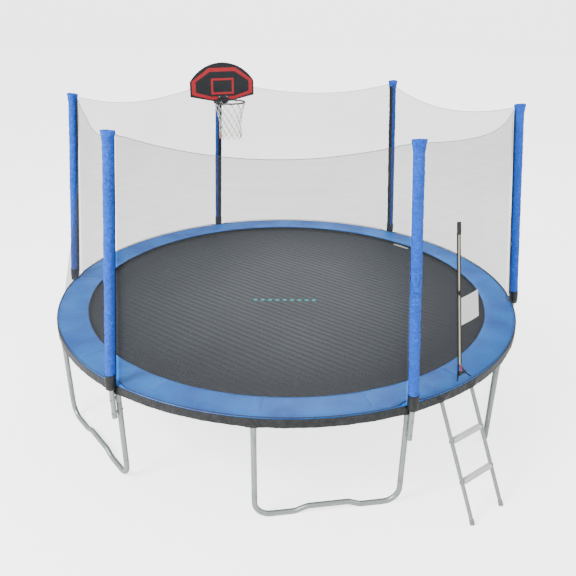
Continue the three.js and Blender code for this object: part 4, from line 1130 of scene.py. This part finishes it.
class TRAMPOLINE_OT_sleeves(bpy.types.Operator):
    """Dress the poles in foam sleeves, collars and webbing"""
    bl_idname = "trampoline.sleeves"
    bl_label = "Sleeves"

    def execute(self, context):
        s = sizes("frame")
        reach = upper_length()
        start, end = s.sleeve_start, reach + s.sleeve_overhang
        for i in range(6):
            self.sleeve(i, s, start, end, reach)
            self.collar(i, s, start)
            self.edge_strap(i, s, start, end)
        return {"FINISHED"}

    def sleeve(self, index, s, start, end, reach):
        rings = 240
        base = pole_frame(index)
        levels = []
        for k in range(rings + 1):
            z = start + (end - start) * k / rings
            flare = smoothstep(z, end - 0.09, end)
            levels.append((z, s.sleeve_radius + (s.flare_radius - s.sleeve_radius) * flare))
        levels.append((end + 0.0008, s.flare_radius - 0.003))
        levels.append((end - 0.001, s.flare_radius - 0.007))
        levels += [(z, s.sleeve_bore + 0.0005) for z in (end - 0.083, reach / 2, start)]
        bm = bmesh.new()
        frames = [base @ Matrix.Translation((0, 0, z)) @ Matrix.Diagonal((r, r, 1, 1))
                  for z, r in levels]
        sweep(bm, frames, 36, 1.0, closed=True)
        clamp = reach - 0.118
        inverse = base.inverted()
        for v in bm.verts:
            spot = inverse @ v.co
            radius = spot.xy.length
            if radius < s.sleeve_radius - 0.004:
                continue
            angle = math.atan2(spot.y, spot.x)
            around = Vector((math.cos(angle), math.sin(angle), 0))
            slow = noise.noise(around * 0.8 + Vector((index * 7.1, 0, spot.z * 6)))
            ridge = noise.noise(around * 1.6 + Vector((index * 3.3, 5.1, spot.z * 34)))
            fold = noise.noise(around * 2.6 + Vector((index * 9.7, 2.2, spot.z * 70)))
            push = 0.0018 * slow + 0.0026 * ridge + 0.0017 * fold
            if index == HOOP_POLE:
                push = min(push, 0.0003) if abs(spot.z - clamp) < 0.045 else push
            push += 0.004 * smoothstep(spot.z, end - 0.05, end) * math.sin(
                5 * angle + index * 2.1)
            inward = max(0.0, -math.cos(angle))
            push = min(push, 0.0035 - 0.0025 * inward)
            spot.x *= 1 + push / radius
            spot.y *= 1 + push / radius
            v.co = base @ spot
        bmesh.ops.recalc_face_normals(bm, faces=bm.faces)
        sleeve = piece(f"foam_sleeve_{index + 1}", bm, [finish(sleeve_fabric)],
                       replaces=[f"pole_sleeve_{index + 1}"], smooth=60)

    def collar(self, index, s, start):
        """A black cuff from the sleeve's foot down over the edge of the cover."""
        bed = sizes("bed")
        bm = bmesh.new()
        low, top = bed.pad_top - 0.028, s.pole_bend + start + 0.012
        levels = [(low, 0.034), (low + 0.002, 0.038), (low + 0.03, 0.0405),
                  (top - 0.035, 0.0405), (top - 0.01, 0.0408), (top, 0.0402)]
        middle_line = []
        for z, r in levels:
            lean = max(0.0, z - s.pole_bend) * math.tan(pole_lean())
            middle_line.append(Matrix.Translation((s.pole_circle - lean, 0, z))
                               @ Matrix.Diagonal((r, r, 1, 1)))
        steps = []
        for a, b in zip(middle_line, middle_line[1:]):
            steps += [a.lerp(b, k / 4) for k in range(4)]
        steps.append(middle_line[-1])
        inner = [m @ Matrix.Diagonal((0.93, 0.93, 1, 1)) for m in steps[::-1]]
        sweep(bm, steps + inner, 28, 1.0, closed=True)
        for v in bm.verts:
            wave = noise.noise(Vector((v.co.y * 40 + index * 5, v.co.z * 30, v.co.x * 20)))
            reach = v.co.x - s.pole_circle
            v.co.x += 0.0014 * wave
            v.co.y *= 1 + 0.04 * wave
            if v.co.z < bed.pad_top + 0.012 and reach < 0:
                shrink = smoothstep(v.co.z, bed.pad_top + 0.012, bed.pad_top + 0.002)
                v.co.x += max(0.0, bed.pad_outer + 0.0045 - v.co.x) * shrink
        bmesh.ops.transform(bm, matrix=turn_z(POLE_ANGLES[index]), verts=bm.verts)
        bmesh.ops.recalc_face_normals(bm, faces=bm.faces)
        cuff = piece(f"pole_cuff_{index + 1}", bm, [finish(skirt_cloth)],
                     smooth=60)

    def edge_strap(self, index, s, start, end):
        """The net's black edge webbing along the inner side of the sleeve."""
        bm = bmesh.new()
        route = []
        for k in range(41):
            z = start - 0.02 + (end - start - 0.03) * k / 40
            sway = 0.002 * noise.noise(Vector((index * 4.4, z * 3, 1.5)))
            route.append(pole_frame(index, z) @ Vector((-s.sleeve_radius - 0.0042, sway, 0)))
        frames = frames_along(route, side=pole_frame(index).to_3x3() @ Vector((0, 1, 0)))
        strap(bm, frames, 0.034, 0.0022)
        piece(f"net_edge_{index + 1}", bm, [finish(webbing)])


class TRAMPOLINE_OT_net(bpy.types.Operator):
    """Hang the six panels of the safety net with their hems"""
    bl_idname = "trampoline.net"
    bl_label = "Safety net"

    def execute(self, context):
        columns, rows = 72, 40
        for panel in range(6):
            bm = bmesh.new()
            bm.loops.layers.uv.new("UVMap")
            bmesh.ops.create_grid(bm, x_segments=columns, y_segments=rows, size=1,
                                  calc_uvs=True)
            for v in bm.verts:
                across, up = v.co.x / 2 + 0.5, v.co.y / 2 + 0.5
                v.co = self.hung(panel, across, up)
            net = piece(f"net_sheet_{panel + 1}", bm, [finish(net_mesh)],
                        replaces=[f"net_panel_{panel + 1}"], smooth=80)
            extras = [self.hem(panel)]
            if panel == ENTRANCE:
                extras.append(self.label(panel))
        return {"FINISHED"}

    def hung(self, panel, across, up):
        place = net_point(panel, across, up)
        outward = Vector((place.x, place.y, 0)).normalized()
        near = min(across, 1 - across)
        gather = math.exp(-(near / 0.09) ** 2) * smoothstep(up, 0.45, 1.0)
        folds = 0.009 * gather * math.sin(near * 150 + up * 5 + panel)
        ripple = 0.006 * noise.noise(Vector((across * 7, up * 2.4, panel * 3.7)))
        calm = min(1.0, near * 9) * min(1.0, up * 6)
        outward_foot = 0.034 * (1 - smoothstep(up, 0.0, 0.04)) * smoothstep(near, 0.0, 0.05)
        if panel == ENTRANCE:
            calm *= smoothstep(abs(across - 0.22), 0.01, 0.08)
        return place + outward * (outward_foot + (ripple * calm + folds if near > 0 else 0))

    def label(self, panel):
        """A blank vinyl label sewn to the net beside the zip."""
        start = sizes("net").zip_foot_share
        bm = bmesh.new()
        bmesh.ops.create_grid(bm, x_segments=8, y_segments=8, size=1)
        for v in bm.verts:
            across = start + 0.069 + 0.055 * v.co.x
            v.co = self.hung(panel, across, 0.295 + 0.058 * v.co.y)
            v.co += Vector((v.co.x, v.co.y, 0)).normalized() * 0.002
        lifted = bmesh.ops.extrude_face_region(bm, geom=bm.faces[:])["geom"]
        for v in [g for g in lifted if isinstance(g, bmesh.types.BMVert)]:
            v.co += Vector((v.co.x, v.co.y, 0)).normalized() * 0.0006
        bmesh.ops.recalc_face_normals(bm, faces=bm.faces)
        return piece("net_label", bm,
                     [finish(moulded, "White vinyl label", code="#EFEFEC", roughness=0.55)])

    def hem(self, panel):
        """Doubled net along the top edge with a cord in it, and a black hem at the foot."""
        bm = bmesh.new()
        top = [self.hung(panel, i / 60, 1.0) for i in range(61)]
        tube(bm, top, 0.0018, 6)
        foot = [self.hung(panel, i / 60, 0.0) + Vector((0, 0, -0.001)) for i in range(61)]
        tube(bm, foot, 0.0035, 6)
        return piece(f"net_hem_{panel + 1}", bm,
                     [finish(webbing, "Grey elastic hem", "net", 0.006)])


class TRAMPOLINE_OT_zip(bpy.types.Operator):
    """Sew the entrance zip, its straps and its slider"""
    bl_idname = "trampoline.zip"
    bl_label = "Entrance zip"

    def execute(self, context):
        tapes, coil = bmesh.new(), bmesh.new()
        low, high = ZIP_START, ZIP_END
        for side in (-1, 1):
            route = []
            for k in range(25):
                up = 0.004 + (low - 0.004) * k / 24
                away = 0.0155 + (0.125 if side < 0 else 0.012) * (1 - k / 24) ** 1.7
                route.append(zip_frame(up, side * away, 0.006))
            for k in range(1, 25):
                route.append(zip_frame(low + (high - low) * k / 24, side * 0.0155, 0.006))
            strap(tapes, route, 0.018, 0.0018)
        strap(coil, [zip_frame(low + (high - low) * k / 30, 0, 0.0066) for k in range(31)],
              0.0145, 0.0022)
        count = 150
        for k in range(count):
            up = low + (high - low) * (k + 0.5) / count
            block(coil, zip_frame(up, 0.0014 * (-1) ** k, 0.0082), 0.0105, 0.0014, 0.0032)
        piece("zip_tapes", tapes, [finish(webbing)])
        piece("zip_coil", coil, [finish(moulded, "Cream nylon coil", key="zip_cream",
                                        roughness=0.45)])
        extras = bmesh.new()
        top = [zip_frame(0.622 + 0.053 * k / 4, 0, 0.0092) for k in range(5)]
        strap(extras, top, 0.05, 0.004)
        band = [zip_frame(0.38, 0.026 * math.cos(a), 0.007 + 0.008 * math.sin(a))
                for a in [math.tau * k / 20 for k in range(20)]]
        ring = frames_along([f.translation for f in band], closed=True)
        strap(extras, ring, 0.003, 0.02, closed=True)
        block(extras, zip_frame(0.38, 0, 0.0165), 0.03, 0.005, 0.034, 0.0015)
        cross = [zip_frame(0.036, -0.07 + 0.0105 * k, 0.0105) for k in range(10)]
        side = cross[0].to_3x3() @ Vector((0, 0, 1))
        strap(extras, frames_along([f.translation for f in cross], side=side), 0.025, 0.002)
        block(extras, zip_frame(0.036, 0.004, 0.0135), 0.034, 0.007, 0.034, 0.002)
        piece("zip_straps", extras, [finish(webbing)])
        slider = bmesh.new()
        base = zip_frame(0.07, 0, 0.012)
        block(slider, base, 0.0155, 0.0075, 0.022, 0.002)
        block(slider, base @ Matrix.Translation((0, 0.0045, 0.001)), 0.006, 0.003, 0.013, 0.001)
        piece("zip_runner", slider, [finish(zinc_steel)], body="zip",
              replaces=["zip_slider"])
        tag = bmesh.new()
        route = [base @ Vector((0, 0.0065, 0.004 - 0.0115 * k)) for k in range(5)]
        frames = frames_along(route, side=base.to_3x3() @ Vector((1, 0, 0)))
        strap(tag, frames, 0.0125, 0.0024)
        piece("zip_pull_tag", tag, [finish(webbing, "Red webbing tag", "red", 0.006)],
              body="zip")
        return {"FINISHED"}


class TRAMPOLINE_OT_ladder(bpy.types.Operator):
    """Make the ladder's rails, hooks, treads and feet"""
    bl_idname = "trampoline.ladder"
    bl_label = "Ladder"

    def execute(self, context):
        s, f = sizes("ladder"), sizes("frame")
        for side, hand in ((-s.width / 2, "left"), (s.width / 2, "right")):
            bm = bmesh.new()
            head = ladder_place(side, s.head_height - 0.004)
            tube(bm, [head, ladder_place(side, 0.3), ladder_place(side, 0.022)],
                 s.rail_radius, 18)
            self.hook(bm, side, s, f)
            direction = (ladder_place(side, 0.3) - head).normalized()
            outward = turn_z(LADDER_ANGLE).to_3x3() @ Vector((0, 1 if side > 0 else -1, 0))
            for height in TREAD_HEIGHTS:
                spot = ladder_place(side, height) + outward * (s.rail_radius - 0.001)
                base = axes(direction, outward.cross(direction), outward, spot)
                hex_bolt(bm, base, 0.008, 0.008)
            piece(f"ladder_side_{hand}", bm, [finish(galvanised_steel)], body="ladder",
                  replaces=[f"ladder_rail_{hand}"])
            foot = bmesh.new()
            low, up = ladder_place(side, 0.004), ladder_place(side, 0.042)
            frames = frames_along([low.lerp(up, t) for t in (0, 0.1, 0.5, 0.93, 1)])
            radii = (0.0165, 0.0185, 0.018, 0.018, 0.0165)
            sweep(foot, [m @ Matrix.Diagonal((r, r, 1, 1)) for m, r in zip(frames, radii)], 18)
            for v in foot.verts:
                v.co.z = max(v.co.z, 0.0)
            piece(f"ladder_foot_{hand}", foot,
                  [finish(moulded, "Grey rubber foot", code="#8B918C", roughness=0.7)],
                  body="ladder")
        for i, height in enumerate(TREAD_HEIGHTS):
            self.tread(i, height, s)
        return {"FINISHED"}

    def hook(self, bm, side, s, f):
        """A strap bent round the top rail, riveted to the ladder rail."""
        centre = Vector((s.hinge_radius, side, f.rail_height))
        radius = s.hook_bore + s.hook_strap / 2
        route = []
        for k in range(25):
            a = math.radians(-75 + (118 + 75) * k / 24)
            route.append(centre + Vector((radius * math.cos(a), 0, radius * math.sin(a))))
        spin = turn_z(LADDER_ANGLE)
        frames = frames_along([spin @ p for p in route], side=spin.to_3x3() @ Vector((0, 1, 0)))
        strap(bm, frames, s.hook_width, s.hook_strap)

    def tread(self, index, height, s):
        bm = bmesh.new()
        wide = s.width - 2 * (s.rail_radius + 0.0006)
        middle_place = ladder_place(0, height)
        base = axes(turn_z(LADDER_ANGLE).to_3x3() @ Vector((1, 0, 0)),
                    turn_z(LADDER_ANGLE).to_3x3() @ Vector((0, 1, 0)),
                    Vector((0, 0, 1)), middle_place)
        outline = [(-0.5, -1), (-0.5, 0.86), (-0.44, 1), (0.44, 1), (0.5, 0.86), (0.5, -1),
                   (0.455, -1), (0.455, 0.72), (-0.455, 0.72), (-0.455, -1)]
        upright = base @ Matrix.Rotation(math.pi / 2, 4, "X") @ Matrix.Translation(
            (0, 0, wide / 2))
        slab(bm, [(x * s.step_depth, y * s.step_thickness / 2) for x, y in outline], wide,
             upright)
        for k in range(7):
            x = (k - 3) * 0.0052
            block(bm, base @ Matrix.Translation((x, 0, s.step_thickness / 2 + 0.0006)),
                  0.0026, wide * 0.9, 0.0016, 0.0006)
        for y in (-1, 1):
            block(bm, base @ Matrix.Translation((0, y * (wide / 2 - 0.0012), -0.001)),
                  s.step_depth * 0.9, 0.0022, s.step_thickness * 0.8)
        piece(f"ladder_tread_{index + 1}", bm,
              [finish(moulded, "Light grey powder coat", key="step", roughness=0.42)],
              body="ladder", replaces=[f"ladder_step_{index + 1}"])


def board_frame(out=0.0, height=0.0):
    """A frame on the board's face: X across, Y up, Z towards the middle of the ring."""
    s = sizes("hoop")
    outward = polar(1, POLE_ANGLES[HOOP_POLE])
    across = Vector((outward.y, -outward.x, 0))
    place = outward * (s.face_radius - out) + Vector((0, 0, s.board_foot + height))
    return axes(across, Vector((0, 0, 1)), -outward, place)


class TRAMPOLINE_OT_backboard(bpy.types.Operator):
    """Mould the backboard and lay its red bands"""
    bl_idname = "trampoline.backboard"
    bl_label = "Backboard"

    def execute(self, context):
        s = sizes("hoop")
        half, side_from, side_to = s.board_width / 2, 0.058, 0.215
        arch = s.board_height - side_to
        radius = (half ** 2 + arch ** 2) / (2 * arch)
        centre = s.board_height - radius
        start = math.atan2(side_to - centre, half)
        outline = [(-0.085, 0), (0.085, 0), (half, side_from)]
        for k in range(41):
            a = start + (math.pi - 2 * start) * k / 40
            outline.append((radius * math.cos(a), centre + radius * math.sin(a)))
        outline.append((-half, side_from))
        bm = bmesh.new()
        slab(bm, outline, s.board_thickness, board_frame())
        rims = [e for e in bm.edges if not e.is_manifold or e.calc_face_angle(0) > 1.2]
        bmesh.ops.bevel(bm, geom=rims, offset=0.003, affect="EDGES", segments=3,
                        profile=0.5, material=-1)
        for face in sorted(bm.faces, key=lambda f: -f.calc_area())[:1]:
            bmesh.ops.inset_region(bm, faces=[face], thickness=0.012, depth=0)
            bmesh.ops.inset_region(bm, faces=[face], thickness=0.002, depth=-0.0015)
        piece("hoop_board", bm, [finish(moulded, "Black polyethylene board", key="board",
                                        roughness=0.42)],
              replaces=["backboard"], smooth=30)
        bands = bmesh.new()
        outer = [(0.14, 0.024), (0.352, 0.082), (0.352, 0.222), (0.155, 0.358)]
        inner = [(0.135, 0.055), (0.307, 0.105), (0.307, 0.214), (0.143, 0.318)]
        mirrored = [[(-x, y) for x, y in loop[::-1]] for loop in (outer, inner)]
        frame_band(bands, outer + mirrored[0], inner + mirrored[1], 0.0018, board_frame(-0.0012))
        big = [(-0.132, 0.078), (0.132, 0.078), (0.132, 0.248), (-0.132, 0.248)]
        small = [(-0.108, 0.1), (0.108, 0.1), (0.108, 0.226), (-0.108, 0.226)]
        frame_band(bands, big, small, 0.0018, board_frame(-0.0012))
        piece("board_bands", bands, [finish(moulded, "Red screen print", key="red",
                                            roughness=0.4)])
        return {"FINISHED"}


class TRAMPOLINE_OT_hoop(bpy.types.Operator):
    """Make the hoop's bracket, rim and knotted net"""
    bl_idname = "trampoline.hoop"
    bl_label = "Hoop"

    def execute(self, context):
        s, f = sizes("hoop"), sizes("frame")
        self.bracket(s, f)
        self.rim(s)
        self.cord_net(s)
        return {"FINISHED"}

    def bracket(self, s, f):
        bm = bmesh.new()
        along = upper_length() - 0.118
        base = pole_frame(HOOP_POLE, along)
        bore = f.sleeve_radius + 0.0006
        band = [base @ Matrix.Translation((0, 0, z)) @ Matrix.Diagonal((r, r, 1, 1))
                for z, r in ((-0.026, bore), (-0.026, bore + 0.005), (0.026, bore + 0.005),
                             (0.026, bore))]
        sweep(bm, band, 32, 1.0, closed=True)
        for y in (-1, 1):
            ear = base @ Matrix.Translation((bore + 0.012, y * 0.005, 0))
            block(bm, ear, 0.026, 0.004, 0.05, 0.001)
        for z in (-0.013, 0.013):
            bolt = base @ Matrix.Translation((bore + 0.016, 0.007, z)) @ Matrix.Rotation(
                -math.pi / 2, 4, "X")
            hex_bolt(bm, bolt, 0.006, 0.006)
        height = base.translation.z - s.board_foot
        plate_back = board_frame(-s.board_thickness - 0.0006, height)
        block(bm, plate_back @ Matrix.Translation((0, 0, -0.0025)), 0.12, 0.073, 0.005, 0.001)
        for x, y in ((-0.045, -0.024), (0.045, -0.024), (-0.045, 0.024), (0.045, 0.024)):
            back = plate_back @ Matrix.Translation((x, y, -0.005)) @ Matrix.Rotation(
                math.pi, 4, "X")
            hex_bolt(bm, back, 0.006, 0.005)
        start = plate_back.translation
        end = base @ Vector((-bore - 0.003, 0, 0))
        arm = axes((end - start).normalized(), plate_back.to_3x3() @ Vector((1, 0, 0)),
                   Vector((0, 0, 1)), start.lerp(end, 0.5))
        block(bm, arm, (end - start).length, 0.014, 0.036, 0.001)
        piece("board_clamp", bm, [finish(moulded, "Black powder-coated steel", code="#1E2022",
                                         roughness=0.4)],
              replaces=["hoop_bracket"])

    def rim(self, s):
        bm = bmesh.new()
        outward = polar(1, POLE_ANGLES[HOOP_POLE])
        middle_place = outward * s.rim_centre + Vector((0, 0, s.rim_height))
        across = Vector((outward.y, -outward.x, 0))
        lay = axes(outward, across, Vector((0, 0, -1)), middle_place)
        tube(bm, [lay @ polar(s.rim_radius, 5 * i) for i in range(72)], s.rim_tube, 12,
             closed=True)
        for i in range(12):
            a = 15 + 30 * i
            hook = [lay @ polar(s.rim_radius + dx, a + da, -dz) for dx, da, dz in (
                (0.0, -2.4, -0.006), (0.0, -1.6, -0.014), (0.0, 0, -0.017),
                (0.0, 1.6, -0.014), (0.0, 2.4, -0.006))]
            tube(bm, hook, 0.0018, 6)
        reach = s.face_radius - s.rim_centre
        for x in (-0.045, 0.045):
            near = lay @ Vector((s.rim_radius * 0.955, x, 0))
            far = lay @ Vector((reach - 0.006, x, 0))
            tube(bm, [near, far], 0.006, 10)
            low = lay @ Vector((reach - 0.006, x, 0.03))
            tube(bm, [near.lerp(far, 0.1), low], 0.005, 10)
        plate = board_frame(0.0046, s.rim_height - s.board_foot)
        block(bm, plate, 0.12, 0.084, 0.008, 0.0015)
        piece("hoop_ring", bm, [finish(moulded, "Black powder-coated steel", code="#1E2022",
                                       roughness=0.4)],
              replaces=["hoop_rim"])
        bolts = bmesh.new()
        for x, y in ((-0.045, 0.03), (0.045, 0.03), (-0.045, -0.03), (0.045, -0.03)):
            hex_bolt(bolts, plate @ Matrix.Translation((x, y, 0.004)), 0.006, 0.005)
        piece("hoop_bolts", bolts, [finish(zinc_steel)])

    def cord_net(self, s):
        outward = polar(1, POLE_ANGLES[HOOP_POLE])
        middle_place = outward * s.rim_centre + Vector((0, 0, s.rim_height - 0.012))
        levels = 7
        drop = s.net_length / levels

        def knot(level, i):
            share = level / levels
            radius = s.rim_radius + (s.net_foot - s.rim_radius) * share ** 0.8
            radius -= 0.018 * math.sin(math.pi * share) ** 2
            wobble = 0.006 * noise.noise(Vector((i * 1.7, level * 2.3, 0.4)))
            angle = 15 + 30 * (i + 0.5 * (level % 2))
            place = polar(radius + wobble, angle, -drop * level)
            return middle_place + turn_z(POLE_ANGLES[HOOP_POLE]).to_3x3() @ place

        white, tan = bmesh.new(), bmesh.new()
        for level in range(levels):
            bm = tan if level == levels - 1 else white
            for i in range(12):
                for step in (0, 1):
                    j = i + (step if level % 2 else step - 1)
                    a, b = knot(level, i), knot(level + 1, j)
                    sag = a.lerp(b, 0.5) + (a - middle_place).xy.to_3d().normalized() * 0.004
                    tube(bm, [a, sag, b], 0.0028, 5)
                bmesh.ops.create_icosphere(
                    bm, subdivisions=1, radius=0.0055, matrix=Matrix.Translation(knot(level, i)))
        for i in range(12):
            bmesh.ops.create_icosphere(tan, subdivisions=1, radius=0.0055,
                                       matrix=Matrix.Translation(knot(levels, i)))
        piece("hoop_cords", white,
              [finish(twisted_cord, "White nylon cord", "#B9BBA8", "#F0F0E4")],
              replaces=["hoop_net"], smooth=70)
        piece("hoop_cord_tips", tan,
              [finish(twisted_cord, "Tan nylon cord", "#B98E77", "#E0BFA6")],
              smooth=70)


class TRAMPOLINE_PT_panel(bpy.types.Panel):
    bl_idname = "TRAMPOLINE_PT_panel"
    bl_label = "Backyard Trampoline"
    bl_space_type = "VIEW_3D"
    bl_region_type = "UI"
    bl_category = "Trampoline"

    def draw(self, context):
        for operator in OPERATORS:
            self.layout.operator(operator.bl_idname)
        for name, group in GROUPS:
            self.layout.label(text=name.capitalize())
            for key in group.__annotations__:
                self.layout.prop(getattr(context.scene, "trampoline_" + name), key)


GROUPS = [
    ("frame", TrampolineFrameSizes),
    ("bed", TrampolineBedSizes),
    ("net", TrampolineNetSizes),
    ("hoop", TrampolineHoopSizes),
    ("ladder", TrampolineLadderSizes),
    ("colours", TrampolineColours),
]

OPERATORS = [
    TRAMPOLINE_OT_stage, TRAMPOLINE_OT_top_rails, TRAMPOLINE_OT_leg_tubes,
    TRAMPOLINE_OT_leg_bases, TRAMPOLINE_OT_springs, TRAMPOLINE_OT_mat,
    TRAMPOLINE_OT_spring_cover, TRAMPOLINE_OT_poles, TRAMPOLINE_OT_sleeves,
    TRAMPOLINE_OT_net, TRAMPOLINE_OT_zip, TRAMPOLINE_OT_ladder, TRAMPOLINE_OT_backboard,
    TRAMPOLINE_OT_hoop,
]


def register():
    for group in [g for _, g in GROUPS] + OPERATORS + [TRAMPOLINE_PT_panel]:
        bpy.utils.register_class(group)
    for name, group in GROUPS:
        setattr(bpy.types.Scene, "trampoline_" + name, PointerProperty(type=group))


def unregister():
    for name, _ in GROUPS:
        delattr(bpy.types.Scene, "trampoline_" + name)
    for group in [TRAMPOLINE_PT_panel] + OPERATORS[::-1] + [g for _, g in GROUPS[::-1]]:
        bpy.utils.unregister_class(group)


def main():
    register()
    for operator in OPERATORS:
        space, name = operator.bl_idname.split(".")
        getattr(getattr(bpy.ops, space), name)()


if __name__ == "__main__":
    main()
